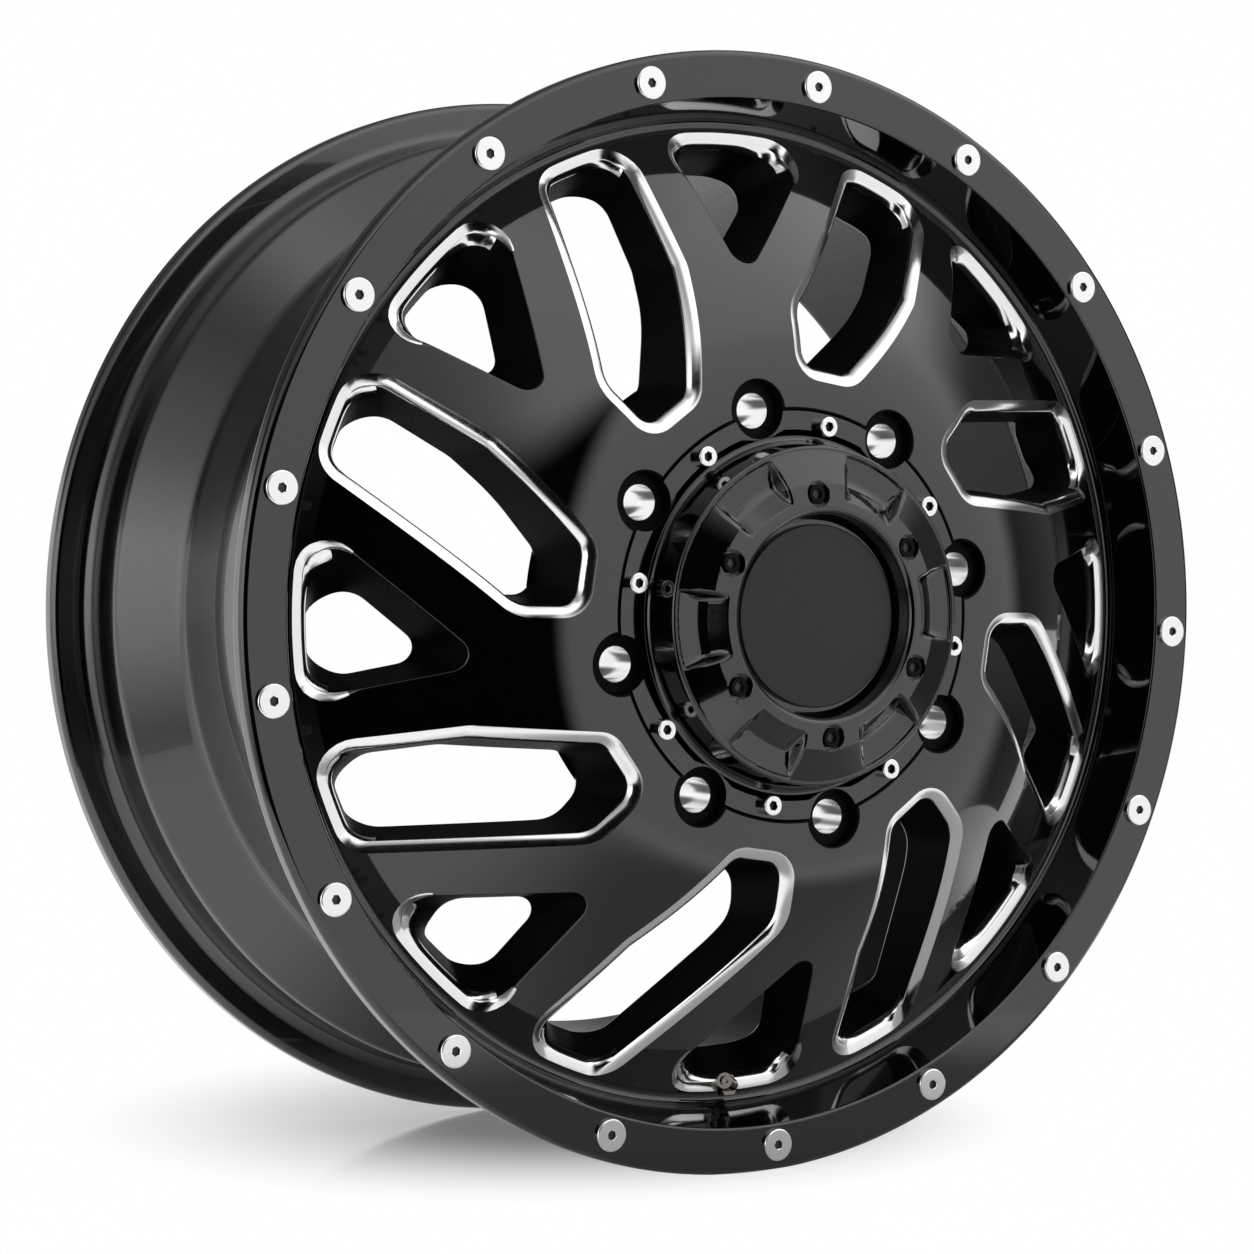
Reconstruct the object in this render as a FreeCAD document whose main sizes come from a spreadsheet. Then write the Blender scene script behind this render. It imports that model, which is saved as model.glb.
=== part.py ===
import FreeCAD, Part
import math
import os
import Sketcher

# A truck dual wheel: axle along Y, face towards -Y, up is Z, origin in the mounting pad's plane.

V = FreeCAD.Vector
FRONT = V(0, -1, 0)
UP = V(0, 0, 1)

# Driving sizes: name, value in millimetres or degrees, and what it is.
# A "clock" angle is measured clockwise from the top, looking at the face.
# Depths are behind the plane of the front lip, and tail lengths ahead of the plane of the back lip.
SIZES = [
    ("rim_width", 241.1, "whole width over both lips"),
    ("lip_ahead", 10.0, "front lip ahead of the mounting pad"),
    ("flange_r", 273.9, "outside of both flanges"),
    ("flange_round", 3.5, "round on a flange's outer edge"),
    ("flange_edge", 7.5, "flange depth where its tyre side begins"),
    ("flange_heel", 4.0, "round from a flange's rim to its tyre side"),
    ("flange_thick", 12.5, "flange thickness at the bead"),
    ("bead_corner", 7.4, "round between bead seat and flange"),
    ("bead_seat_r", 254.6, "bead seat at the flange"),
    ("bead_drop", 2.0, "fall of the seat towards the hump"),
    ("bead_width", 38.0, "depth of the end of the seat"),
    ("hump_rise", 1.0, "height of the safety hump"),
    ("hump_width", 7.5, "width of the safety hump"),
    ("front_slope", 21.0, "length of the slope into the well, front"),
    ("tail_slope", 18.0, "length of the slope into the well, back"),
    ("well_r", 226.0, "outside of the drop well"),
    ("well_ease", 3.5, "break at the ends of the well"),
    ("barrel_wall", 7.5, "wall of the barrel"),
    ("tail_mouth_r", 258.0, "inside of the back lip"),
    ("tail_mouth", 5.0, "bevel on the inside of the back lip"),
    ("lip_inner_r", 252.0, "inner edge of the flat front lip"),
    ("lip_ease", 1.8, "round on the inner edge of the front lip"),
    ("lip_foot_r", 243.2, "foot of the lip's inner wall"),
    ("lip_foot_depth", 24.0, "depth of that foot"),
    ("lip_fillet", 5.0, "fillet between the lip's wall and the face"),
    ("face_seat_r", 237.8, "inner edge of that fillet"),
    ("face_seat_depth", 28.2, "depth of that edge"),
    ("throat_r", 231.6, "rim end of the windows' inner walls"),
    ("throat_depth", 29.6, "depth of that end"),
    ("throat_length", 26.0, "length of the cone behind the windows"),
    ("hub_height", 46.0, "hub face ahead of the mounting pad"),
    ("hub_bore_r", 71.0, "bore that centres the wheel on its hub"),
    ("bore_lead", 1.5, "lead-in at the back of the bore"),
    ("pad_r", 122.0, "mounting pad"),
    ("pad_step", 3.0, "height of the pad over the spokes' backs"),
    ("spoke_knee_r", 154.0, "where the spokes' backs turn towards the rim"),
    ("spoke_heel_r", 208.4, "where they begin to curve into the barrel"),
    ("spoke_heel_depth", 38.2, "depth of that curve's start"),
    ("spoke_fillet", 20.0, "round of that curve"),
    ("spoke_root_r", 222.0, "end of the spokes' backs, inside the barrel"),
    ("spoke_root_depth", 57.0, "depth of that end"),
    ("dome_shoulder_r", 150.0, "where the hub's flat begins to fall away"),
    ("dome_knee_r", 160.5, "where the steep outer face aims back to"),
    ("dome_knee_drop", 9.5, "fall at that point"),
    ("dome_end_r", 246.0, "end of the face, inside the barrel"),
    ("dome_end_depth", 32.5, "depth of that end"),
    ("dome_end_thick", 7.5, "thickness of that end"),
    ("recess_r", 98.7, "recess for the cap in the hub face"),
    ("recess_depth", 6.0, "depth of that recess"),
    ("window_count", 8, "long windows, and small ones too"),
    ("bevel", 6.0, "milled bevel round the windows"),
    ("slot_root_left_x", 5.9, "long window's hub end, left"),
    ("slot_root_left_up", 119.6, "the same, upwards"),
    ("slot_root_right_x", 31.7, "long window's hub end, right"),
    ("slot_root_right_up", 115.5, "the same, upwards"),
    ("slot_bend_right_x", 78.4, "bend in the right side"),
    ("slot_bend_right_up", 156.3, "the same, upwards"),
    ("slot_rim_right_x", 113.7, "long window's rim end, right"),
    ("slot_rim_right_up", 203.2, "the same, upwards"),
    ("slot_rim_left_x", 73.9, "long window's rim end, left"),
    ("slot_rim_left_up", 220.9, "the same, upwards"),
    ("slot_bend_left_x", 6.2, "bend in the left side"),
    ("slot_bend_left_up", 147.4, "the same, upwards"),
    ("slot_root_round", 9.0, "rounds at the hub end"),
    ("slot_bend_round", 16.0, "rounds at the bends"),
    ("slot_rim_round", 6.5, "rounds at the rim end"),
    ("vent_tip_x", 98.8, "small window's point towards the hub"),
    ("vent_tip_up", 128.4, "the same, upwards"),
    ("vent_far_x", 195.5, "small window's rim end, right"),
    ("vent_far_up", 130.0, "the same, upwards"),
    ("vent_near_x", 137.5, "small window's rim end, left"),
    ("vent_near_up", 190.4, "the same, upwards"),
    ("vent_tip_round", 8.0, "round at the point"),
    ("vent_rim_round", 22.0, "rounds at the rim end"),
    ("mouth_far_x", 190.2, "bevelled mouth of a small window, right"),
    ("mouth_far_up", 136.9, "the same, upwards"),
    ("mouth_near_x", 143.0, "bevelled mouth, left"),
    ("mouth_near_up", 186.0, "the same, upwards"),
    ("mouth_in_near_x", 128.9, "bevelled mouth's inner end, left"),
    ("mouth_in_near_up", 163.5, "the same, upwards"),
    ("mouth_in_far_x", 155.0, "bevelled mouth's inner end, right"),
    ("mouth_in_far_up", 136.3, "the same, upwards"),
    ("mouth_rim_round", 12.0, "rounds of the mouth at the rim"),
    ("mouth_in_round", 5.0, "rounds of the mouth's inner end"),
    ("lug_count", 8, "wheel studs"),
    ("lug_circle_r", 100.0, "stud circle"),
    ("lug_clock", 32.4, "first stud"),
    ("lug_hole_r", 8.5, "stud hole"),
    ("lug_pocket_r", 14.2, "flat seat for a nut"),
    ("lip_bolt_count", 17, "bolts in the front lip"),
    ("lip_bolt_circle_r", 261.0, "their circle"),
    ("lip_bolt_clock", 7.84, "the first one"),
    ("lip_bolt_head_r", 8.0, "head"),
    ("lip_bolt_head_high", 2.2, "height of the head"),
    ("lip_bolt_edge", 0.8, "bevel on the head"),
    ("lip_bolt_key", 4.0, "key socket across its flats"),
    ("lip_bolt_key_deep", 1.4, "depth of the socket"),
    ("lip_bolt_shank_r", 4.0, "shank"),
    ("lip_bolt_shank", 9.0, "length of the shank"),
    ("fit", 0.1, "clearance of a shank or a seal in its hole"),
    ("cap_gap", 0.8, "gap round the cap's flange and its cut-outs"),
    ("cap_bore_r", 74.5, "inside of the cap"),
    ("cap_foot_r", 83.5, "drum of the cap at its foot"),
    ("cap_foot_round", 2.5, "fillet between flange and drum"),
    ("cap_edge_r", 80.6, "drum of the cap at its edge"),
    ("cap_edge_high", 17.0, "that edge ahead of the hub face"),
    ("cap_edge_round", 1.4, "round on that edge"),
    ("cap_ridge_r", 63.0, "ridge between the cap's two slopes"),
    ("cap_ridge_high", 24.5, "ridge ahead of the hub face"),
    ("cap_rim_r", 51.5, "rim round the centre plate"),
    ("cap_rim_high", 26.2, "rim ahead of the hub face"),
    ("cap_rim_round", 3.0, "round on the inside of the rim"),
    ("cap_well_r", 45.6, "foot of the recess for the plate"),
    ("cap_well_high", 14.5, "floor of that recess ahead of the hub face"),
    ("cap_roof_high", 10.5, "inside of the cap's roof ahead of the hub face"),
    ("cap_roof_ease", 3.0, "break at the edge of the roof"),
    ("cap_clock", -4.2, "first of the cap's bolts"),
    ("notch_count", 6, "notches in the cap, and bolts between them"),
    ("notch_outer_r", 77.5, "outer end of a notch"),
    ("notch_floor_r", 64.0, "inner end of a notch's floor"),
    ("notch_floor_high", 17.0, "floor ahead of the hub face"),
    ("notch_top_r", 53.5, "where the notch's slope leaves the cap"),
    ("notch_top_high", 27.5, "that end ahead of the hub face"),
    ("notch_angle", 25.0, "width of a notch, in degrees"),
    ("plate_r", 43.6, "centre plate"),
    ("plate_thick", 3.0, "its thickness"),
    ("plate_edge", 0.8, "bevel on the plate's edge"),
    ("cap_bolt_circle_r", 57.8, "bolts in the cap"),
    ("cap_bolt_pocket_r", 6.2, "counterbore for a bolt"),
    ("cap_bolt_pocket_high", 21.0, "its floor ahead of the hub face"),
    ("cap_bolt_head_r", 4.6, "head"),
    ("cap_bolt_head_high", 3.2, "height of the head"),
    ("cap_bolt_edge", 0.5, "bevel on the head"),
    ("cap_bolt_key", 4.6, "key socket across its flats"),
    ("cap_bolt_key_deep", 2.0, "depth of the socket"),
    ("cap_bolt_shank_r", 2.5, "shank"),
    ("cap_bolt_shank", 8.0, "length of the shank"),
    ("screw_count", 8, "screws that hold the cap"),
    ("screw_circle_r", 91.7, "their circle"),
    ("screw_clock", 10.0, "the first one"),
    ("screw_head_r", 4.9, "head"),
    ("screw_head_high", 4.6, "height of the head"),
    ("screw_edge", 0.6, "bevel on the head"),
    ("screw_key", 4.0, "key socket across its flats"),
    ("screw_key_deep", 2.6, "depth of the socket"),
    ("screw_shank_r", 3.0, "shank"),
    ("screw_shank", 16.0, "length of the shank"),
    ("screw_hole", 12.0, "depth of the screw hole in the hub"),
    ("valve_clock", 180.3, "valve, in the bottom small window"),
    ("valve_r", 234.4, "valve where it meets the window's bevel"),
    ("valve_depth", 28.6, "depth of the valve's flat seat"),
    ("valve_lean", 10.0, "lean of the valve towards the hub"),
    ("valve_hole_r", 4.15, "valve hole"),
    ("valve_seat_r", 6.6, "flat seat round the hole, both ends"),
    ("valve_reach", 26.0, "length of the hole between its seats"),
    ("seat_clear", 14.0, "clear depth over a seat"),
    ("nut_r", 5.6, "valve nut"),
    ("nut_high", 6.5, "height of the nut"),
    ("stem_r", 3.2, "valve stem"),
    ("stem_rise", 9.5, "stem's bend above the seat"),
    ("stem_turn", 77.0, "way the bent end points, from hubwards round clockwise"),
    ("stem_bend", 47.0, "bend of the stem"),
    ("tip_length", 14.0, "bent end of the stem"),
    ("tip_r", 3.9, "collar on the stem's end"),
    ("tip_collar", 2.4, "length of that collar"),
    ("tip_bore_r", 2.5, "mouth of the stem"),
    ("tip_bore_deep", 3.5, "depth of that mouth"),
    ("core_pin_r", 0.9, "pin of the valve core"),
    ("core_high", 1.6, "body of the valve core"),
    ("core_pin_high", 1.4, "pin above that body"),
    ("seal_flange_r", 6.2, "flange of the rubber seal"),
    ("seal_flange", 3.0, "its thickness"),
    ("stem_foot_r", 5.2, "foot of the stem on the tyre side"),
    ("stem_foot", 2.5, "its thickness"),
]

doc = FreeCAD.newDocument("dually_wheel")
sheet = doc.addObject("Spreadsheet::Sheet", "dims")
for row, (name, value, note) in enumerate(SIZES, start=1):
    sheet.set("A%d" % row, note)
    sheet.set("B%d" % row, str(value))
    sheet.setAlias("B%d" % row, name)
doc.recompute()


class Size:
    """A length with its number now and the sheet formula that keeps it up to date."""

    def __init__(self, value, text):
        self.value = float(value)
        self.text = text

    def __add__(self, other):
        return Size(self.value + other.value, "%s + %s" % (self.text, other.text))

    def __sub__(self, other):
        return Size(self.value - other.value, "%s - (%s)" % (self.text, other.text))

    def __neg__(self):
        return Size(-self.value, "-(%s)" % self.text)


def size(name):
    """The sheet's cell of that name as a Size."""
    return Size(sheet.get(name), "dims.%s" % name)


def num(name):
    """The sheet's cell of that name as a plain number."""
    return float(sheet.get(name))


def on_clock(radius, clock):
    """Place of a point on a circle: right is radius*sin(clock), up is radius*cos(clock)."""
    turn = math.radians(clock.value)
    right = Size(radius.value * math.sin(turn), "(%s) * sin(%s)" % (radius.text, clock.text))
    up = Size(radius.value * math.cos(turn), "(%s) * cos(%s)" % (radius.text, clock.text))
    return right, up


ZERO = Size(0, "0")
lip_front = -size("lip_ahead")
lip_back = size("rim_width") - size("lip_ahead")
hub_face = -size("hub_height")
hub_floor = size("recess_depth") - size("hub_height")


# Sketching helpers

def new_body(name):
    body = doc.addObject("PartDesign::Body", name)
    body.Label = name
    return body


def origin_part(body, role):
    """One of the body's own origin planes or axes."""
    return [item for item in body.Origin.OriginFeatures if item.Role == role][0]


def new_sketch(body, name, role, lift=None):
    """Sketch on an origin plane. On XZ_Plane, lift is how far it lies towards the front."""
    sketch = body.newObject("Sketcher::SketchObject", name)
    sketch.AttachmentSupport = (origin_part(body, role), [""])
    sketch.MapMode = "FlatFace"
    if lift is not None:
        sketch.setExpression("AttachmentOffset.Base.z", lift.text)
    return sketch


def bind(sketch, constraint, length):
    index = sketch.addConstraint(constraint)
    sketch.setExpression("Constraints[%d]" % index, length.text)


def pin(sketch, shape, end, x, y):
    """Hold one point of a shape at x, y from the sketch's origin."""
    if x.text == "0":
        sketch.addConstraint(Sketcher.Constraint("PointOnObject", shape, end, -2))
    else:
        bind(sketch, Sketcher.Constraint("DistanceX", -1, 1, shape, end, x.value), x)
    if y.text == "0":
        sketch.addConstraint(Sketcher.Constraint("PointOnObject", shape, end, -1))
    else:
        bind(sketch, Sketcher.Constraint("DistanceY", -1, 1, shape, end, y.value), y)


def arc_between(start, end, radius, left):
    """Short arc from start to end; left is True where it turns to the left on its way."""
    middle = (start + end) * 0.5
    half = (end - start).Length / 2
    side = V(-(end - start).y, (end - start).x, 0).normalize()
    reach = math.sqrt(max(radius * radius - half * half, 0))
    centre = middle + side * (reach if left else -reach)
    first, last = (start, end) if left else (end, start)
    begin = math.atan2(first.y - centre.y, first.x - centre.x)
    finish = math.atan2(last.y - centre.y, last.x - centre.x)
    return Part.ArcOfCircle(Part.Circle(centre, V(0, 0, 1), radius), begin, finish)


def draw_profile(sketch, corners, arcs=None, curves=None):
    """Closed profile through pinned corners.

    arcs maps a corner to (radius, left) and curves a corner to its two inner poles: the stretch
    that starts at that corner is then an arc or a cubic curve, and every other stretch is straight.
    """
    arcs = arcs or {}
    curves = curves or {}
    places = [V(x.value, y.value, 0) for x, y in corners]
    ends = []
    for here, start in enumerate(places):
        end = places[(here + 1) % len(places)]
        if here in arcs:
            radius, left = arcs[here]
            shape = sketch.addGeometry(arc_between(start, end, radius.value, left), False)
            bind(sketch, Sketcher.Constraint("Radius", shape, radius.value), radius)
            ends.append((shape, 1 if left else 2, 2 if left else 1))
        elif here in curves:
            poles = [start] + [V(x.value, y.value, 0) for x, y in curves[here]] + [end]
            curve = Part.BSplineCurve(poles, None, None, False, 3, None, False)
            shape = sketch.addGeometry(curve, False)
            sketch.exposeInternalGeometry(shape)
            for number, (x, y) in enumerate(curves[here]):
                pin(sketch, shape + 2 + number, 3, x, y)
            ends.append((shape, 1, 2))
        else:
            shape = sketch.addGeometry(Part.LineSegment(start, end), False)
            ends.append((shape, 1, 2))
    for here, (shape, first, last) in enumerate(ends):
        before, unused, joint = ends[here - 1]
        sketch.addConstraint(Sketcher.Constraint("Coincident", before, joint, shape, first))
        pin(sketch, shape, first, corners[here][0], corners[here][1])


def draw_rounded(sketch, corners):
    """Closed outline of straight sides, run counter-clockwise, with a tangent round at each corner."""
    count = len(corners)
    places = [V(x.value, y.value, 0) for x, y, radius in corners]
    trims = []
    for here in range(count):
        back = (places[here - 1] - places[here]).normalize()
        ahead = (places[(here + 1) % count] - places[here]).normalize()
        half = back.getAngle(ahead) / 2
        reach = corners[here][2].value / math.tan(half)
        trims.append((places[here] + back * reach, places[here] + ahead * reach))
    sides = []
    for here in range(count):
        leave = trims[here][1]
        meet = trims[(here + 1) % count][0]
        sides.append(sketch.addGeometry(Part.LineSegment(leave, meet), False))
    for here, (x, y, radius) in enumerate(corners):
        arc = arc_between(trims[here][0], trims[here][1], radius.value, True)
        bend = sketch.addGeometry(arc, False)
        mark = sketch.addGeometry(Part.Point(places[here]), True)
        sketch.addConstraint(Sketcher.Constraint("Tangent", sides[here - 1], 2, bend, 1))
        sketch.addConstraint(Sketcher.Constraint("Tangent", bend, 2, sides[here], 1))
        sketch.addConstraint(Sketcher.Constraint("PointOnObject", mark, 1, sides[here - 1]))
        sketch.addConstraint(Sketcher.Constraint("PointOnObject", mark, 1, sides[here]))
        bind(sketch, Sketcher.Constraint("Radius", bend, radius.value), radius)
        pin(sketch, mark, 1, x, y)


def draw_circle(sketch, x, y, radius):
    place = V(x.value, y.value, 0)
    ring = sketch.addGeometry(Part.Circle(place, V(0, 0, 1), radius.value), False)
    bind(sketch, Sketcher.Constraint("Radius", ring, radius.value), radius)
    pin(sketch, ring, 3, x, y)


def draw_hexagon(sketch, across):
    """Regular hexagon about the sketch's origin, across its flats."""
    reach = across.value / math.sqrt(3)
    corners = [V(reach * math.cos(math.radians(60 * k)), reach * math.sin(math.radians(60 * k)), 0)
               for k in range(6)]
    guide = sketch.addGeometry(Part.Circle(V(0, 0, 0), V(0, 0, 1), reach), True)
    sketch.addConstraint(Sketcher.Constraint("Coincident", guide, 3, -1, 1))
    formula = Size(reach, "%s / sqrt(3)" % across.text)
    bind(sketch, Sketcher.Constraint("Radius", guide, reach), formula)
    sides = [sketch.addGeometry(Part.LineSegment(corners[k], corners[(k + 1) % 6]), False)
             for k in range(6)]
    for k in range(6):
        sketch.addConstraint(Sketcher.Constraint("Coincident", sides[k - 1], 2, sides[k], 1))
        sketch.addConstraint(Sketcher.Constraint("PointOnObject", sides[k], 1, guide))
    for k in range(1, 6):
        sketch.addConstraint(Sketcher.Constraint("Equal", sides[0], sides[k]))
    sketch.addConstraint(Sketcher.Constraint("PointOnObject", sides[0], 1, -1))


# Feature helpers

def revolve(body, kind, name, sketch):
    """Turn a section drawn on XY_Plane about the axle."""
    turned = body.newObject("PartDesign::%s" % kind, name)
    turned.Profile = sketch
    turned.ReferenceAxis = (sketch, ["V_Axis"])
    turned.Angle = 360
    turned.Refine = False
    sketch.Visibility = False
    doc.recompute()
    return turned


def cut(body, name, sketch, depth=None):
    """Pocket from the sketch towards the back, through everything where no depth is given."""
    pocket = body.newObject("PartDesign::Pocket", name)
    pocket.Profile = sketch
    pocket.Refine = False
    if depth is None:
        pocket.Type = "ThroughAll"
    else:
        pocket.Type = "Length"
        pocket.setExpression("Length", depth.text)
    sketch.Visibility = False
    doc.recompute()
    return pocket


def repeat(body, name, features, count):
    """Copies of features evenly round the axle."""
    pattern = body.newObject("PartDesign::PolarPattern", name)
    pattern.Originals = features
    pattern.Axis = (origin_part(body, "Y_Axis"), [""])
    pattern.Angle = 360
    pattern.Refine = False
    pattern.setExpression("Occurrences", count.text)
    body.Tip = pattern
    doc.recompute()
    return pattern


def holes(body, name, radius, circle, clock, count, lift, depth=None):
    """A ring of round holes, bored from a plane lift ahead of the pad."""
    sketch = new_sketch(body, name + "_sketch", "XZ_Plane", lift)
    x, y = on_clock(circle, clock)
    draw_circle(sketch, x, y, radius)
    first = cut(body, name + "_first", sketch, depth)
    return repeat(body, name, [first], count)


def ring_of(name, master, circle, clock, count):
    """One node that holds count separate copies of a fastener, evenly round the axle."""
    group = doc.addObject("Part::Feature", name)
    group.Label = name
    copies = []
    for number in range(int(num(count))):
        turn = math.radians(num(clock) + 360.0 * number / num(count))
        piece = master.Shape.copy()
        piece.translate(V(num(circle) * math.sin(turn), 0, num(circle) * math.cos(turn)))
        copies.append(piece)
    group.Shape = Part.makeCompound(copies)
    group.Placement = FreeCAD.Placement()
    return group


# Wheel casting

def disc_section(body):
    """Hub, domed face and the spokes' backs, which curve into the barrel, before the windows are cut."""
    sketch = new_sketch(body, "disc_section", "XY_Plane")
    lead = size("bore_lead")
    bore = size("hub_bore_r")
    throat_end = lip_front + size("throat_depth") + size("throat_length")
    corners = [
        (bore + lead, ZERO),
        (bore, -lead),
        (bore, hub_floor),
        (size("recess_r"), hub_floor),
        (size("recess_r"), hub_face),
        (size("dome_end_r"), lip_front + size("dome_end_depth")),
        (size("dome_end_r"), lip_front + size("dome_end_depth") + size("dome_end_thick")),
        (size("spoke_root_r"), lip_front + size("spoke_root_depth")),
        (size("well_r") - size("barrel_wall"), throat_end),
        (size("spoke_heel_r"), lip_front + size("spoke_heel_depth")),
        (size("spoke_knee_r"), -size("pad_step")),
        (size("pad_r") + size("pad_step"), -size("pad_step")),
        (size("pad_r"), ZERO),
    ]
    poles = [
        (size("dome_shoulder_r"), hub_face),
        (size("dome_knee_r"), hub_face + size("dome_knee_drop")),
    ]
    draw_profile(sketch, corners, arcs={8: (size("spoke_fillet"), False)}, curves={4: poles})
    return sketch


def barrel_section(body):
    """Barrel from the windows' throat, round the back flange and over the front lip."""
    sketch = new_sketch(body, "barrel_section", "XY_Plane")
    inside = size("well_r") - size("barrel_wall")
    seat = size("bead_seat_r")
    seat_end = seat - size("bead_drop")
    hump = seat_end + size("hump_rise")
    seat_in = seat_end - size("barrel_wall")
    heel = size("flange_r") - size("flange_heel")
    heel_depth = size("flange_edge") + size("flange_heel")
    bead_r = seat + size("bead_corner")
    bead_depth = size("flange_thick") + size("bead_corner")
    slope_start = size("bead_width") + size("hump_width")
    front_well = slope_start + size("front_slope")
    back_well = slope_start + size("tail_slope")
    ease = size("well_ease")
    hump_mid = size("bead_width") + ease
    corners = [
        (size("throat_r"), lip_front + size("throat_depth")),
        (inside, lip_front + size("throat_depth") + size("throat_length")),
        (inside, lip_back - back_well - ease),
        (seat_in, lip_back - slope_start + ease),
        (seat_in, lip_back - bead_depth),
        (size("tail_mouth_r"), lip_back - size("tail_mouth")),
        (size("tail_mouth_r") + size("tail_mouth"), lip_back),
        (size("flange_r") - size("flange_round"), lip_back),
        (size("flange_r"), lip_back - size("flange_round")),
        (size("flange_r"), lip_back - size("flange_edge")),
        (heel, lip_back - heel_depth),
        (bead_r, lip_back - size("flange_thick")),
        (seat, lip_back - bead_depth),
        (seat_end, lip_back - size("bead_width")),
        (hump, lip_back - hump_mid),
        (seat_end, lip_back - slope_start),
        (size("well_r") + ease, lip_back - back_well),
        (size("well_r"), lip_back - back_well - ease),
        (size("well_r"), lip_front + front_well + ease),
        (size("well_r") + ease, lip_front + front_well),
        (seat_end, lip_front + slope_start),
        (hump, lip_front + hump_mid),
        (seat_end, lip_front + size("bead_width")),
        (seat, lip_front + bead_depth),
        (bead_r, lip_front + size("flange_thick")),
        (heel, lip_front + heel_depth),
        (size("flange_r"), lip_front + size("flange_edge")),
        (size("flange_r"), lip_front + size("flange_round")),
        (size("flange_r") - size("flange_round"), lip_front),
        (size("lip_inner_r"), lip_front),
        (size("lip_inner_r") - size("lip_ease"), lip_front + size("lip_ease")),
        (size("lip_foot_r"), lip_front + size("lip_foot_depth")),
        (size("face_seat_r"), lip_front + size("face_seat_depth")),
    ]
    arcs = {
        7: (size("flange_round"), False),
        9: (size("flange_heel"), False),
        11: (size("bead_corner"), True),
        23: (size("bead_corner"), True),
        25: (size("flange_heel"), False),
        27: (size("flange_round"), False),
        29: (size("lip_ease"), False),
        31: (size("lip_fillet"), True),
    }
    draw_profile(sketch, corners, arcs=arcs)
    return sketch


def slot_outline(body):
    """Long window: six straight sides that bend along the spokes, milled right through the face."""
    sketch = new_sketch(body, "slot_outline", "XZ_Plane", size("hub_height") + size("bevel"))
    root = size("slot_root_round")
    bend = size("slot_bend_round")
    rim = size("slot_rim_round")
    draw_rounded(sketch, [
        (size("slot_root_left_x"), size("slot_root_left_up"), root),
        (size("slot_root_right_x"), size("slot_root_right_up"), root),
        (size("slot_bend_right_x"), size("slot_bend_right_up"), bend),
        (size("slot_rim_right_x"), size("slot_rim_right_up"), rim),
        (size("slot_rim_left_x"), size("slot_rim_left_up"), rim),
        (size("slot_bend_left_x"), size("slot_bend_left_up"), bend),
    ])
    return sketch


def mouth_outline(body):
    """Rim end of a small window, whose bevel the plain window then cuts down to two horns."""
    sketch = new_sketch(body, "mouth_outline", "XZ_Plane", size("hub_height") + size("bevel"))
    rim = size("mouth_rim_round")
    end = size("mouth_in_round")
    draw_rounded(sketch, [
        (size("mouth_far_x"), size("mouth_far_up"), rim),
        (size("mouth_near_x"), size("mouth_near_up"), rim),
        (size("mouth_in_near_x"), size("mouth_in_near_up"), end),
        (size("mouth_in_far_x"), size("mouth_in_far_up"), end),
    ])
    return sketch


def vent_outline(body):
    """Small window: a triangle with rounded corners and plain edges."""
    sketch = new_sketch(body, "vent_outline", "XZ_Plane", size("hub_height") + size("bevel"))
    rim = size("vent_rim_round")
    draw_rounded(sketch, [
        (size("vent_tip_x"), size("vent_tip_up"), size("vent_tip_round")),
        (size("vent_far_x"), size("vent_far_up"), rim),
        (size("vent_near_x"), size("vent_near_up"), rim),
    ])
    return sketch


def is_upright(face):
    """True for a wall that runs along the axle: flat, or a small round."""
    surface = face.Surface
    if isinstance(surface, Part.Plane):
        return abs(surface.Axis.y) < 1e-6
    if isinstance(surface, Part.Cylinder):
        return surface.Radius < num("hub_bore_r")
    return False


def bevel_windows(body, name, feature):
    """Bevel on the face's edges along the windows' walls, which all lie outside the stud holes."""
    shape = feature.Shape
    dome = [face for face in shape.Faces if isinstance(face.Surface, Part.SurfaceOfRevolution)]
    walls = [face for face in shape.Faces if is_upright(face)]
    dome_edges = [edge for face in dome for edge in face.Edges]
    wall_edges = [edge for face in walls for edge in face.Edges]
    studs = num("lug_circle_r") + num("lug_pocket_r")
    chosen = []
    for number, edge in enumerate(shape.Edges, start=1):
        middle = edge.CenterOfMass
        if math.hypot(middle.x, middle.z) < studs:
            continue
        on_dome = any(edge.isSame(other) for other in dome_edges)
        if on_dome and any(edge.isSame(other) for other in wall_edges):
            chosen.append("Edge%d" % number)
    bevel = body.newObject("PartDesign::Chamfer", name)
    bevel.Base = (feature, chosen)
    bevel.Refine = False
    bevel.setExpression("Size", size("bevel").text)
    doc.recompute()
    return bevel


def valve_frame():
    """Seat of the valve, its own axis, the way towards the hub across it, and the way clockwise."""
    turn = math.radians(num("valve_clock"))
    lean = math.radians(num("valve_lean"))
    outward = V(math.sin(turn), 0, math.cos(turn))
    seat = outward * num("valve_r") + V(0, num("valve_depth") - num("lip_ahead"), 0)
    axis = FRONT * math.cos(lean) - outward * math.sin(lean)
    hubward = FRONT * -math.sin(lean) - outward * math.cos(lean)
    clockwise = V(math.cos(turn), 0, -math.sin(turn))
    return seat, axis, hubward, clockwise


def valve_section(body):
    """Valve hole with a flat seat at both ends, drawn in its own frame: across, and forwards."""
    seat, axis, hubward, clockwise = valve_frame()
    sketch = new_sketch(body, "valve_section", "XY_Plane")
    turn = FreeCAD.Rotation(hubward, axis, hubward.cross(axis), "XYZ")
    sketch.AttachmentOffset = FreeCAD.Placement(seat, turn)
    bore = size("valve_hole_r")
    wide = size("valve_seat_r")
    reach = size("valve_reach")
    draw_profile(sketch, [
        (ZERO, -reach - size("seat_clear")),
        (wide, -reach - size("seat_clear")),
        (wide, -reach),
        (bore, -reach),
        (bore, ZERO),
        (wide, ZERO),
        (wide, size("seat_clear")),
        (ZERO, size("seat_clear")),
    ])
    return sketch


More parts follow.
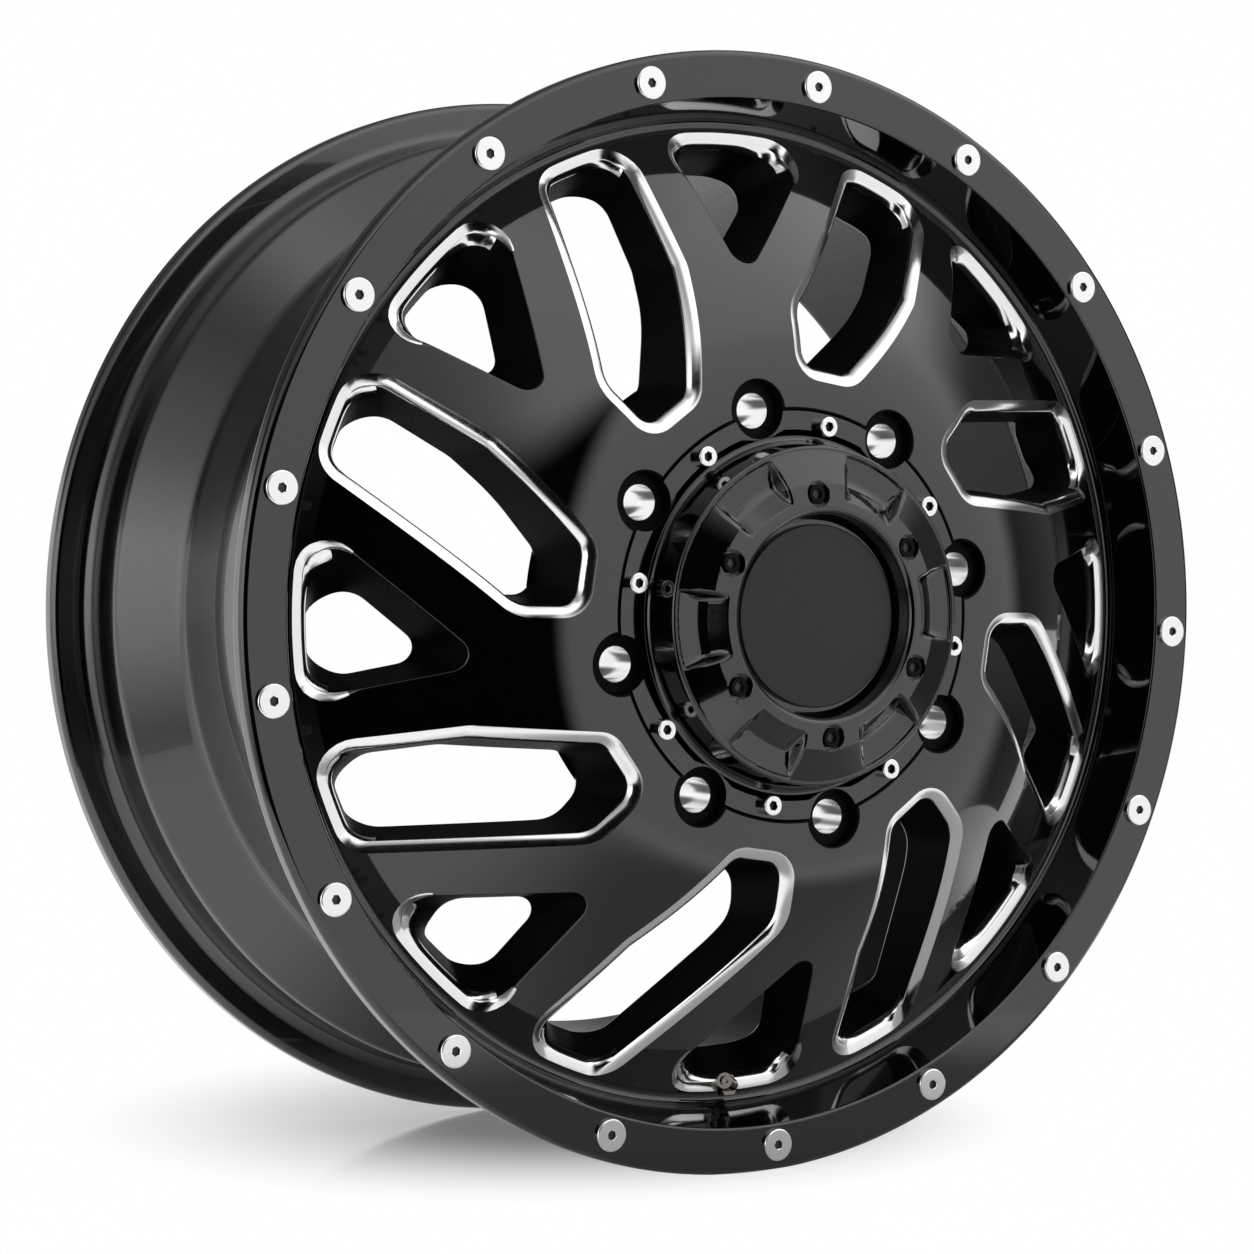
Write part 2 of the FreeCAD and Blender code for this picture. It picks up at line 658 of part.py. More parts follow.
def make_wheel():
    body = new_body("wheel")
    windows = size("window_count")
    lug_circle = size("lug_circle_r")
    lug_clock = size("lug_clock")
    lugs = size("lug_count")
    face = size("hub_height")
    floor = face - size("recess_depth")
    revolve(body, "Revolution", "disc", disc_section(body))
    holes(body, "lug_pockets", size("lug_pocket_r"), lug_circle, lug_clock, lugs,
          face, size("recess_depth"))
    holes(body, "lug_holes", size("lug_hole_r"), lug_circle, lug_clock, lugs, face)
    holes(body, "screw_holes", size("screw_shank_r") + size("fit"), size("screw_circle_r"),
          size("screw_clock"), size("screw_count"), floor, size("screw_hole"))
    slot = cut(body, "first_slot", slot_outline(body))
    mouth = cut(body, "first_mouth", mouth_outline(body))
    bevel_windows(body, "window_bevel", repeat(body, "windows", [slot, mouth], windows))
    vent = cut(body, "first_vent", vent_outline(body))
    repeat(body, "vents", [vent], windows)
    revolve(body, "Revolution", "barrel", barrel_section(body))
    holes(body, "lip_bolt_holes", size("lip_bolt_shank_r") + size("fit"), size("lip_bolt_circle_r"),
          size("lip_bolt_clock"), size("lip_bolt_count"), size("lip_ahead"),
          size("lip_bolt_shank") + size("fit"))
    revolve(body, "Groove", "valve_hole", valve_section(body))
    return body


# Centre cap

def cap_section(body):
    """Flange in the hub's recess, tapered drum, two slopes and the recess for the centre plate."""
    sketch = new_sketch(body, "cap_section", "XY_Plane")
    flange = size("recess_r") - size("cap_gap")
    edge = hub_face - size("cap_edge_high")
    rim = hub_face - size("cap_rim_high")
    roof = hub_face - size("cap_roof_high")
    well = hub_face - size("cap_well_high")
    draw_profile(sketch, [
        (size("cap_bore_r"), hub_floor),
        (flange, hub_floor),
        (flange, hub_face),
        (size("cap_foot_r") + size("cap_foot_round"), hub_face),
        (size("cap_foot_r"), hub_face - size("cap_foot_round")),
        (size("cap_edge_r"), edge),
        (size("cap_edge_r") - size("cap_edge_round"), edge - size("cap_edge_round")),
        (size("cap_ridge_r"), hub_face - size("cap_ridge_high")),
        (size("cap_rim_r"), rim),
        (size("cap_rim_r") - size("cap_rim_round"), rim + size("cap_rim_round")),
        (size("cap_well_r"), well),
        (ZERO, well),
        (ZERO, roof),
        (size("cap_bore_r") - size("cap_roof_ease"), roof),
        (size("cap_bore_r"), roof + size("cap_roof_ease")),
    ], arcs={
        3: (size("cap_foot_round"), False),
        5: (size("cap_edge_round"), True),
        8: (size("cap_rim_round"), True),
    })
    return sketch


def notch_section(body):
    """Notch in the cap's slopes: a flat floor, then a slope up to the rim."""
    sketch = new_sketch(body, "notch_section", "XY_Plane")
    clock = num("cap_clock") + 180.0 / num("notch_count")
    turn = FreeCAD.Rotation(V(0, 1, 0), clock - 90)
    sketch.AttachmentOffset = FreeCAD.Placement(V(0, 0, 0), turn)
    floor = hub_face - size("notch_floor_high")
    top = hub_face - size("notch_top_high")
    clear = top - size("notch_top_high")
    draw_profile(sketch, [
        (size("notch_outer_r"), floor),
        (size("notch_floor_r"), floor),
        (size("notch_top_r"), top),
        (size("notch_top_r"), clear),
        (size("notch_outer_r"), clear),
    ])
    return sketch


def make_cap():
    body = new_body("centre_cap")
    revolve(body, "Revolution", "cap_shell", cap_section(body))
    face = size("hub_height")
    holes(body, "lug_clearances", size("lug_pocket_r") + size("cap_gap"), size("lug_circle_r"),
          size("lug_clock"), size("lug_count"), face + size("cap_foot_round"))
    holes(body, "flange_holes", size("screw_shank_r") + size("fit"), size("screw_circle_r"),
          size("screw_clock"), size("screw_count"), face)
    notch = revolve(body, "Groove", "first_notch", notch_section(body))
    notch.Midplane = True
    notch.setExpression("Angle", size("notch_angle").text)
    doc.recompute()
    repeat(body, "notches", [notch], size("notch_count"))
    circle = size("cap_bolt_circle_r")
    clock = size("cap_clock")
    count = size("notch_count")
    floor = size("cap_bolt_pocket_high")
    holes(body, "bolt_pockets", size("cap_bolt_pocket_r"), circle, clock, count,
          face + size("notch_top_high"), size("notch_top_high") - floor)
    holes(body, "bolt_holes", size("cap_bolt_shank_r") + size("fit"), circle, clock, count,
          face + floor, size("cap_bolt_shank") + size("fit"))
    return body


def make_plate():
    """Plain round plate on the floor of the cap's recess."""
    body = new_body("cap_plate")
    sketch = new_sketch(body, "plate_section", "XY_Plane")
    foot = hub_face - size("cap_well_high")
    front = foot - size("plate_thick")
    draw_profile(sketch, [
        (ZERO, foot),
        (size("plate_r"), foot),
        (size("plate_r"), front + size("plate_edge")),
        (size("plate_r") - size("plate_edge"), front),
        (ZERO, front),
    ])
    revolve(body, "Revolution", "plate", sketch)
    return body


# Fasteners

def make_fastener(name, seat, ahead):
    """One fastener on the axle line: round head with a bevelled edge and a key socket, and a shank.

    seat is where the head sits and ahead the same plane counted forwards from the mounting pad.
    """
    body = new_body(name + "_one")
    sketch = new_sketch(body, name + "_section", "XY_Plane")
    top = seat - size(name + "_head_high")
    edge = size(name + "_edge")
    head = size(name + "_head_r")
    shank = size(name + "_shank_r")
    end = seat + size(name + "_shank")
    draw_profile(sketch, [
        (ZERO, top),
        (head - edge, top),
        (head, top + edge),
        (head, seat),
        (shank, seat),
        (shank, end),
        (ZERO, end),
    ])
    revolve(body, "Revolution", name + "_blank", sketch)
    key = new_sketch(body, name + "_key_sketch", "XZ_Plane", ahead + size(name + "_head_high"))
    draw_hexagon(key, size(name + "_key"))
    cut(body, name + "_socket", key, size(name + "_key_deep"))
    return body


# Valve

def solid(kind, name, along, axis, start, **sizes):
    """Plain solid that stands on a place along an axis."""
    item = doc.addObject("Part::%s" % kind, name)
    for key, length in sizes.items():
        item.setExpression(key, length.text)
    item.Placement = FreeCAD.Placement(start + axis * along, FreeCAD.Rotation(UP, axis))
    return item


def fuse(name, items):
    whole = doc.addObject("Part::MultiFuse", name)
    whole.Shapes = items
    return whole


def take_away(name, whole, tool):
    rest = doc.addObject("Part::Cut", name)
    rest.Base = whole
    rest.Tool = tool
    return rest


def make_valve():
    """Bent stem through the rim, its nut on the front seat, its rubber seal and the core in its mouth."""
    seat, axis, hubward, clockwise = valve_frame()
    reach = size("valve_reach")
    flange = size("seal_flange")
    foot = size("stem_foot")
    rise = size("stem_rise")
    stem = size("stem_r")
    back = -(reach + flange).value
    bend = math.radians(num("stem_bend"))
    turn = math.radians(num("stem_turn"))
    aside = hubward * math.cos(turn) + clockwise * math.sin(turn)
    tip_axis = axis * math.cos(bend) + aside * math.sin(bend)
    elbow = seat + axis * rise.value
    mouth = num("tip_length") - num("tip_bore_deep")
    rod = fuse("stem_rod", [
        solid("Cylinder", "stem_head", back - foot.value, axis, seat,
              Radius=size("stem_foot_r"), Height=foot),
        solid("Cylinder", "stem_straight", back, axis, seat, Radius=stem, Height=reach + flange + rise),
        solid("Sphere", "stem_elbow", 0, axis, elbow, Radius=stem),
        solid("Cylinder", "stem_bent", 0, tip_axis, elbow, Radius=stem, Height=size("tip_length")),
        solid("Cylinder", "stem_collar", num("tip_length") - num("tip_collar"), tip_axis, elbow,
              Radius=size("tip_r"), Height=size("tip_collar")),
    ])
    bore = solid("Cylinder", "stem_mouth", mouth, tip_axis, elbow,
                 Radius=size("tip_bore_r"), Height=size("tip_bore_deep"))
    pieces = [take_away("valve_stem", rod, bore)]
    nut = solid("Prism", "nut_blank", 0, axis, seat, Circumradius=size("nut_r"), Height=size("nut_high"))
    nut_bore = solid("Cylinder", "nut_bore", 0, axis, seat, Radius=stem, Height=size("nut_high"))
    pieces.append(take_away("valve_nut", nut, nut_bore))
    sleeve = fuse("seal_blank", [
        solid("Cylinder", "seal_rim", back, axis, seat, Radius=size("seal_flange_r"), Height=flange),
        solid("Cylinder", "seal_sleeve", back, axis, seat,
              Radius=size("valve_hole_r") - size("fit"), Height=reach + flange),
    ])
    seal_bore = solid("Cylinder", "seal_bore", back, axis, seat, Radius=stem, Height=reach + flange)
    pieces.append(take_away("valve_seal", sleeve, seal_bore))
    core_end = mouth + num("core_high")
    pieces.append(fuse("valve_core", [
        solid("Cylinder", "core_body", mouth, tip_axis, elbow,
              Radius=size("tip_bore_r") - size("fit"), Height=size("core_high")),
        solid("Cylinder", "core_pin", core_end, tip_axis, elbow,
              Radius=size("core_pin_r"), Height=size("core_pin_high")),
    ]))
    doc.recompute()
    return pieces


# Build, check and export

nodes = [make_wheel(), make_cap(), make_plate()]
lip_bolt = make_fastener("lip_bolt", lip_front, size("lip_ahead"))
nodes.append(ring_of("lip_bolts", lip_bolt, "lip_bolt_circle_r", "lip_bolt_clock", "lip_bolt_count"))
cap_bolt = make_fastener("cap_bolt", hub_face - size("cap_bolt_pocket_high"),
                         size("hub_height") + size("cap_bolt_pocket_high"))
nodes.append(ring_of("cap_bolts", cap_bolt, "cap_bolt_circle_r", "cap_clock", "notch_count"))
screw = make_fastener("screw", hub_face, size("hub_height"))
nodes.append(ring_of("cap_screws", screw, "screw_circle_r", "screw_clock", "screw_count"))
nodes.extend(make_valve())
doc.recompute()

for item in doc.Objects:
    if "Invalid" in item.State or "Error" in item.State:
        raise RuntimeError("%s could not be built" % item.Name)
os.makedirs("parts", exist_ok=True)
for node in nodes:
    node.Label = node.Name
    if node.Shape.isNull() or not node.Shape.isValid():
        raise RuntimeError("%s has no sound shape" % node.Name)
    node.Shape.exportStep("parts/%s.step" % node.Name)
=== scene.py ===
import math

import bpy
import numpy as np
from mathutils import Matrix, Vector
from mathutils.geometry import delaunay_2d_cdt


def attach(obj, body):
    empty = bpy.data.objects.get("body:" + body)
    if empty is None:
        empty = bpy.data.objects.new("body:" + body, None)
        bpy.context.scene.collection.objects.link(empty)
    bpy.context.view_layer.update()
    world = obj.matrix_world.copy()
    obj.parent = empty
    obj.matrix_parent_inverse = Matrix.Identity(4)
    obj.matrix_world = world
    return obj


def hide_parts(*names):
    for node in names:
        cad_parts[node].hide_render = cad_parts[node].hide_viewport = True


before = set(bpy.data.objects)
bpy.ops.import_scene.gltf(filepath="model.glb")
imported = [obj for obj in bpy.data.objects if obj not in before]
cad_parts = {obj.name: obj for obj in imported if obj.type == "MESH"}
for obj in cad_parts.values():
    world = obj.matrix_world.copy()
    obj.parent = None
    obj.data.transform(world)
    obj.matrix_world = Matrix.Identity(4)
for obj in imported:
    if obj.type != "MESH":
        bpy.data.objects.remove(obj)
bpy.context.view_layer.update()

# A truck dual wheel on a pale floor: axle along Y, face towards -Y, up is Z.
# Shapes are worked out in millimetres and put into meshes in metres.
# A clock angle runs clockwise from the top, looking at the face.

MM = 0.001
TURN = 2 * math.pi
# SHADED and INSIDE pick darker, duller copies of the lacquer and the enamel: painted shade in the windows,
# the hub's recess and pockets, and inside the barrel
PAINT, MILLED, BORED, SHADED, BARREL, INSIDE = range(6)

# Sizes of the casting; a depth is measured behind the plane of the front lip
LIP_AHEAD = 10.0
RIM_WIDTH = 241.1
FLANGE_R = 273.9
FLANGE_ROUND = 3.5
SEAT_R = 252.6
WELL_R = 226.0
INNER_R = 245.1
HUB_FACE = -46.0
HUB_FLOOR = -40.0
HUB_BORE_R = 71.0
BORE_LEAD = 1.5
PAD_R = 122.0
PAD_STEP = 3.0
RECESS_R = 98.7
BARREL_IN_R = 218.5
THROAT_R = 231.6
THROAT_DEPTH = 29.6
THROAT_END = 55.6
SHELF_BOW = 3.0
SHELF_ROWS = 3
FACE_END_R = 237.0
SPOKE_KNEE_R = 154.0
SPOKE_KNEE_ROUND = 40.0
SPOKE_HEEL = (208.4, 38.2)
SPOKE_FILLET = 20.0

# Points on a circle of the rim, the pad, the bore, the cap and a stud hole
RIM_LINE, PAD_LINE, BORE_LINE, CAP_LINE, HOLE_LINE = 600, 300, 120, 240, 40

# Domed face: control points of its section, as radius and depth
DOME_POLES = ((RECESS_R, -36.0), (150.0, -36.0), (160.5, -26.5), (246.0, 32.5))

# Windows, stud holes and fasteners
WINDOW_COUNT = 8
BEVEL = 6.0
BEVEL_FALL = 0.65
LONG_DRAFT = 4.4
SMALL_DRAFT = 4.6
BACK_RIM_R = 218.0
EDGE = 0.7
BACK_EDGE = 1.5
LUG_COUNT = 8
LUG_CIRCLE_R = 100.0
LUG_CLOCKS = math.radians(32.4) + np.arange(LUG_COUNT) * TURN / LUG_COUNT
LUG_HOLE_R = 8.5
LUG_POCKET_R = 14.2
LUG_EDGE = 1.1


# Paths, grids and shells

def unit(vectors):
    """Vectors divided by their own length."""
    return vectors / np.linalg.norm(vectors, axis=-1, keepdims=True)


def rounded_path(corners, closed=True, steps=6, gap=None):
    """Path through corners (x, y, round): straight runs joined by tangent arcs of that round.

    Gives the points and the unit normals on the right-hand side of travel. A corner with no round
    gives two points with a normal each, so that its edge stays crisp. gap divides long runs.
    """
    places = np.array([corner[:2] for corner in corners], float)
    count = len(corners)
    points, normals = [], []
    for here in range(count):
        place = places[here]
        arrive = unit(place - places[here - 1])
        leave = unit(places[(here + 1) % count] - place)
        if not closed and here == 0:
            arrive = leave
        if not closed and here == count - 1:
            leave = arrive
        cross = arrive[0] * leave[1] - arrive[1] * leave[0]
        bend = math.atan2(cross, arrive @ leave)
        first = np.array([arrive[1], -arrive[0]])
        if not closed and here in (0, count - 1):
            points.append(place)
            normals.append(first)
            continue
        radius = corners[here][2]
        side = 1.0 if bend > 0 else -1.0
        start = place - arrive * radius * math.tan(abs(bend) / 2)
        centre = start - first * radius * side
        for turn in np.linspace(0, bend, steps + 1 if radius else 2):
            spun_normal = np.array([
                first[0] * math.cos(turn) - first[1] * math.sin(turn),
                first[0] * math.sin(turn) + first[1] * math.cos(turn),
            ])
            points.append(centre + spun_normal * radius * side)
            normals.append(spun_normal)
    points, normals = np.array(points), np.array(normals)
    return divide(points, normals, gap, closed) if gap else (points, normals)


def divide(points, normals, gap, closed):
    """Adds points on runs longer than gap, with normals in between those of the run's ends.

    A run of n pieces gives its points at shares 0, 1/n, 2/n and so on from its start to its end.
    """
    ends = np.roll(points, -1, axis=0)
    end_normals = np.roll(normals, -1, axis=0)
    pieces = np.maximum(1, np.ceil(np.linalg.norm(ends - points, axis=1) / gap)).astype(int)
    if not closed:
        pieces[-1] = 1
    run = np.repeat(np.arange(len(points)), pieces)
    step = np.arange(len(run)) - np.repeat(np.cumsum(pieces) - pieces, pieces)
    share = (step / pieces[run])[:, None]
    new_points = points[run] * (1 - share) + ends[run] * share
    return new_points, unit(normals[run] * (1 - share) + end_normals[run] * share)


def grid_faces(rows, columns, wrap_rows=False, wrap_columns=True):
    """Two triangles for every cell of a grid of rows by columns."""
    row = np.arange(rows if wrap_rows else rows - 1)
    column = np.arange(columns if wrap_columns else columns - 1)
    a, b = np.meshgrid(row, column, indexing="ij")
    a2, b2 = (a + 1) % rows, (b + 1) % columns
    corners = [a * columns + b, a2 * columns + b, a2 * columns + b2, a * columns + b2]
    one, two, three, four = [corner.ravel() for corner in corners]
    return np.concatenate([np.c_[one, two, three], np.c_[one, three, four]])


def grid_normals(grid, towards=None):
    """Normals of a grid that closes along its rows: the cross product of its two directions.

    They face the given way, or outwards for rows that run from the front round to the back. At a
    pole, where a row shrinks to a point, they are those of the next row.
    """
    along = np.roll(grid, -1, axis=1) - np.roll(grid, 1, axis=1)
    normals = np.cross(along, np.gradient(grid, axis=0))
    if towards is not None:
        wrong = (normals * towards).sum(axis=-1, keepdims=True) < 0
        normals = np.where(wrong, -normals, normals)
    flat = np.linalg.norm(normals, axis=-1) < 1e-9
    normals[0] = np.where(flat[0][:, None], normals[1], normals[0])
    normals[-1] = np.where(flat[-1][:, None], normals[-2], normals[-1])
    return normals


def inside(points, loop):
    """True for points inside a closed loop, by counting the sides crossed to the right."""
    x, z = points[:, :1], points[:, 1:]
    x0, z0 = loop[:, 0], loop[:, 1]
    x1, z1 = np.roll(x0, -1), np.roll(z0, -1)
    rise = np.where(z1 == z0, 1.0, z1 - z0)
    crosses = ((z0 > z) != (z1 > z)) & (x < x0 + (z - z0) * (x1 - x0) / rise)
    return crosses.sum(axis=1) % 2 == 1


def on_clock(points, clock):
    """Plan points turned clockwise by an angle: x' = x cos + z sin, z' = z cos - x sin."""
    c, s = math.cos(clock), math.sin(clock)
    return np.c_[points[:, 0] * c + points[:, 1] * s, points[:, 1] * c - points[:, 0] * s]


def spin(points, clock):
    """The same turn for points in space, about the axle."""
    plan = on_clock(points[:, [0, 2]], clock)
    return np.c_[plan[:, 0], points[:, 1], plan[:, 1]]


class Shell:
    """One piece's surface, gathered from patches that share their borders."""

    def __init__(self):
        self.points, self.normals, self.faces, self.finishes = [], [], [], []
        self.count = 0

    def add(self, points, normals, faces, finish=0):
        """Adds a patch, with each face turned to agree with its points' normals."""
        points, normals = points.reshape(-1, 3), unit(normals.reshape(-1, 3))
        edge_a = points[faces[:, 1]] - points[faces[:, 0]]
        edge_b = points[faces[:, 2]] - points[faces[:, 0]]
        facing = np.cross(edge_a, edge_b)
        wrong = (facing * normals[faces].sum(axis=1)).sum(axis=1) < 0
        faces = np.where(wrong[:, None], faces[:, ::-1], faces)
        self.points.append(points)
        self.normals.append(normals)
        self.faces.append(faces + self.count)
        self.finishes.append(np.full(len(faces), finish))
        self.count += len(points)

    def add_ring(self, points, normals, faces, count, finish=0, clock=0.0):
        """Adds a patch and its copies evenly round the axle."""
        for number in range(count):
            turn = clock + TURN * number / count
            self.add(spin(points.reshape(-1, 3), turn), spin(normals.reshape(-1, 3), turn), faces, finish)

    def add_turned(self, path, normals, angles, finish=0):
        """Adds a path of radius and Y carried round the axle: (r sin t, Y, r cos t)."""
        s, c = np.sin(angles)[None, :], np.cos(angles)[None, :]
        across, along = path[:, :1], path[:, 1:]
        points = np.stack([across * s, along + 0 * s, across * c], axis=-1)
        out, lengthways = normals[:, :1], normals[:, 1:]
        directions = np.stack([out * s, lengthways + 0 * s, out * c], axis=-1)
        self.add(points, directions, grid_faces(len(path), len(angles)), finish)

    def piece(self, name, finishes, node, slot):
        """Welds the patches into one mesh that stands for a CAD node."""
        points = np.concatenate(self.points)
        normals = np.concatenate(self.normals)
        faces = np.concatenate(self.faces)
        marks = np.concatenate(self.finishes)
        unused, first, welded = np.unique(np.round(points, 3), axis=0, return_index=True,
                                          return_inverse=True)
        corners = welded.reshape(-1)[faces]
        sound = (corners[:, 0] != corners[:, 1]) & (corners[:, 1] != corners[:, 2])
        sound &= corners[:, 2] != corners[:, 0]
        mesh = bpy.data.meshes.new(name)
        mesh.from_pydata(points[first] * MM, [], corners[sound])
        mesh.polygons.foreach_set("material_index", marks[sound])
        mesh.polygons.foreach_set("use_smooth", np.ones(int(sound.sum()), bool))
        for finish in finishes:
            mesh.materials.append(finish)
        mesh.normals_split_custom_set(normals[faces[sound]].reshape(-1, 3))
        thing = bpy.data.objects.new(name, mesh)
        bpy.context.scene.collection.objects.link(thing)
        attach(thing, "root")
        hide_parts(node)
        return thing


def ring_points(low, high, spacing):
    """Points on circles about the axle, spaced evenly, every second circle turned by half a step."""
    circles = []
    radii = np.linspace(low, high, max(2, round((high - low) / spacing) + 1))[1:-1]
    for number, radius in enumerate(radii):
        count = max(8, round(TURN * radius / spacing / WINDOW_COUNT)) * WINDOW_COUNT
        angles = (np.arange(count) + 0.5 * (number % 2)) * TURN / count
        circles.append(np.c_[radius * np.sin(angles), radius * np.cos(angles)])
    return np.concatenate(circles)


def plan_mesh(loops, fill):
    """Triangles over the plan whose sides keep to the given loops, with loose points in between."""
    borders = np.concatenate(loops)
    near = np.full(len(fill), np.inf)
    for loop in loops:
        steps = np.linalg.norm(fill[:, None] - loop[None], axis=2).min(axis=1)
        near = np.minimum(near, steps)
    gaps = np.median(np.linalg.norm(np.diff(loops[-1], axis=0), axis=1))
    fill = fill[near > 0.7 * gaps]
    edges, start = [], 0
    for loop in loops:
        here = np.arange(len(loop))
        edges.append(np.c_[here, np.roll(here, -1)] + start)
        start += len(loop)
    everything = np.concatenate([borders, fill])
    result = delaunay_2d_cdt([Vector(point) for point in everything.tolist()],
                             np.concatenate(edges).tolist(), [], 0, 1e-6)
    return np.array([point[:] for point in result[0]]), np.array(result[2])


def lift(plan, height):
    """Plan points lifted to Y = height(x, z), with normals towards the back from its slopes."""
    step = 0.02
    x, z = plan[:, 0], plan[:, 1]
    slope_x = (height(x + step, z) - height(x - step, z)) / (2 * step)
    slope_z = (height(x, z + step) - height(x, z - step)) / (2 * step)
    points = np.c_[x, height(x, z), z]
    return points, unit(np.c_[-slope_x, np.ones(len(x)), -slope_z])


# Domed face with its windows

def dome_curve():
    """Section of the face: a cubic curve through its poles, as radius, Y and slope."""
    t = np.linspace(0, 1, 4001)[:, None]
    a, b, c, d = [np.array(pole) for pole in DOME_POLES]
    curve = a * (1 - t) ** 3 + 3 * b * t * (1 - t) ** 2 + 3 * c * t * t * (1 - t) + d * t ** 3
    return curve[:, 0], curve[:, 1] - LIP_AHEAD, np.gradient(curve[:, 1], curve[:, 0])


DOME_R, DOME_Y, DOME_SLOPE = dome_curve()


def dome_y(radius):
    """Y of the face at a radius, read off its section."""
    return np.interp(radius, DOME_R, DOME_Y)


def dome_height(x, z):
    """Y of the face over a plan point, whose radius is the root of x^2 + z^2."""
    return dome_y(np.hypot(x, z))


def spoke_back():
    """Section of the spokes' backs: flat behind the hub, a slope, and a fillet into the barrel."""
    heel_r, heel_y = SPOKE_HEEL[0], SPOKE_HEEL[1] - LIP_AHEAD
    slope = math.atan2(heel_y + PAD_STEP, heel_r - SPOKE_KNEE_R)
    corners = [(PAD_R + PAD_STEP, -PAD_STEP, 0), (SPOKE_KNEE_R, -PAD_STEP, SPOKE_KNEE_ROUND),
               (heel_r, heel_y, 0)]
    path, unused = rounded_path(corners, False, 10)
    turns = np.linspace(slope, math.pi / 2, 24)[1:, None]
    start = np.array([math.sin(slope), -math.cos(slope)])
    fillet = path[-1] + SPOKE_FILLET * (np.hstack([np.sin(turns), -np.cos(turns)]) - start)
    return np.concatenate([path, fillet])


SPOKE_BACK = spoke_back()


def back_y(radius):
    """Y of the spokes' backs at a radius, read off their section."""
    return np.interp(radius, SPOKE_BACK[:, 0], SPOKE_BACK[:, 1])


def rim_end(corner, aim, rim_r, rim_round, side):
    """Where a window's straight side turns into the arc at the rim.

    The small round touches the side and the circle of rim_r: its centre lies rim_round inside both.
    """
    corner, aim = np.array(corner, float), np.array(aim, float)
    along = unit(aim - corner)
    inward = np.array([-along[1], along[0]]) * side
    base = corner + inward * rim_round
    middle = base @ along
    run = -middle + math.sqrt(middle ** 2 - base @ base + (rim_r - rim_round) ** 2)
    return base + along * run, -inward


def window_loop(sides, left, right, rim_r, rim_round, steps, gap):
    """Closed loop of a window: rounded corners towards the hub and an arc of rim_r along the rim.

    sides are the corners (x, z, round) from the left side's bend round the hub end to the right
    side's bend; left and right are the points that the two sides aim at, near the rim.
    """
    path, normals = rounded_path([(*left, 0)] + list(sides) + [(*right, 0)], False, steps)
    right_centre, right_normal = rim_end(sides[-1][:2], right, rim_r, rim_round, 1)
    left_centre, left_normal = rim_end(sides[0][:2], left, rim_r, rim_round, -1)

    def arc(centre, radius, first, last, count):
        begin = math.atan2(first[1], first[0])
        sweep = (math.atan2(last[1], last[0]) - begin) % TURN
        angles = begin + sweep * np.linspace(0, 1, count)
        outward = np.c_[np.cos(angles), np.sin(angles)]
        return centre + outward * radius, outward

    from_hub_right, from_hub_left = unit(right_centre), unit(left_centre)
    pieces = [
        (path[1:-1], normals[1:-1]),
        arc(right_centre, rim_round, right_normal, from_hub_right, steps + 1),
        arc(np.zeros(2), rim_r, from_hub_right, from_hub_left, 2 * steps),
        arc(left_centre, rim_round, from_hub_left, left_normal, steps + 1),
    ]
    points = np.concatenate([piece[0] for piece in pieces])
    outward = np.concatenate([piece[1] for piece in pieces])
    fresh = np.linalg.norm(points - np.roll(points, 1, axis=0), axis=1) > 1e-6
    return divide(points[fresh], outward[fresh], gap, True)


def inset(sides, left, right, depth, rounds):
    """The same corners with every side moved inwards by depth, and with other rounds."""
    places = np.array([left] + [corner[:2] for corner in sides] + [right], float)
    along = unit(np.diff(places, axis=0))
    shift = np.c_[-along[:, 1], along[:, 0]] * depth
    starts = places[:-1] + shift
    moved = []
    for before, after in zip(range(len(along) - 1), range(1, len(along))):
        turn = np.array([along[before], -along[after]]).T
        run = np.linalg.solve(turn, starts[after] - starts[before])
        moved.append(starts[before] + along[before] * run[0])
    corners = [(*place, radius) for place, radius in zip(moved, rounds)]
    return corners, starts[0], places[-1] + shift[-1]


def matched(points, loop):
    """Points of a loop seen from its middle in the same directions as the given points."""
    middle = loop.mean(axis=0)
    angles = np.arctan2(*(loop - middle).T)
    order = np.argsort(angles)
    reach = np.linalg.norm(loop - middle, axis=1)[order]
    wanted = np.arctan2(*(points - middle).T)
    found = np.interp(wanted, angles[order], reach, period=TURN)
    return middle + unit(points - middle) * found[:, None]


LONG_SIDES = ((6.2, 147.4, 16.0), (5.9, 119.6, 9.0), (31.7, 115.5, 9.0), (78.4, 156.3, 16.0))
LONG_LEFT, LONG_RIGHT, LONG_RIM_ROUND = (73.9, 220.9), (113.7, 203.2), 11.0
SMALL_TIP = ((98.8, 128.4, 8.0),)
SMALL_LEFT, SMALL_RIGHT, SMALL_RIM_ROUND = (137.5, 190.4), (195.5, 130.0), 11.0
SMALL_BEVEL_FROM, SMALL_BEVEL_TO = 213.0, 229.0
LONG_BACK_ROUNDS, LONG_BACK_RIM_ROUND = (22.0, 11.0, 11.0, 22.0), 13.0
SMALL_BACK_ROUNDS, SMALL_BACK_RIM_ROUND = (8.0,), 12.0


def smooth_step(value):
    """Runs from 0 to 1 with level ends: 3 v^2 - 2 v^3."""
    share = np.clip(value, 0, 1)
    return share * share * (3 - 2 * share)


def long_bevel(radii):
    """The same bevel all the way round."""
    return np.full(len(radii), BEVEL)


def small_bevel(radii):
    """Full bevel at the rim end, which thins out along both sides to a broken edge."""
    share = np.clip((radii - SMALL_BEVEL_FROM) / (SMALL_BEVEL_TO - SMALL_BEVEL_FROM), 0, 1)
    return EDGE + (BEVEL - EDGE) * share


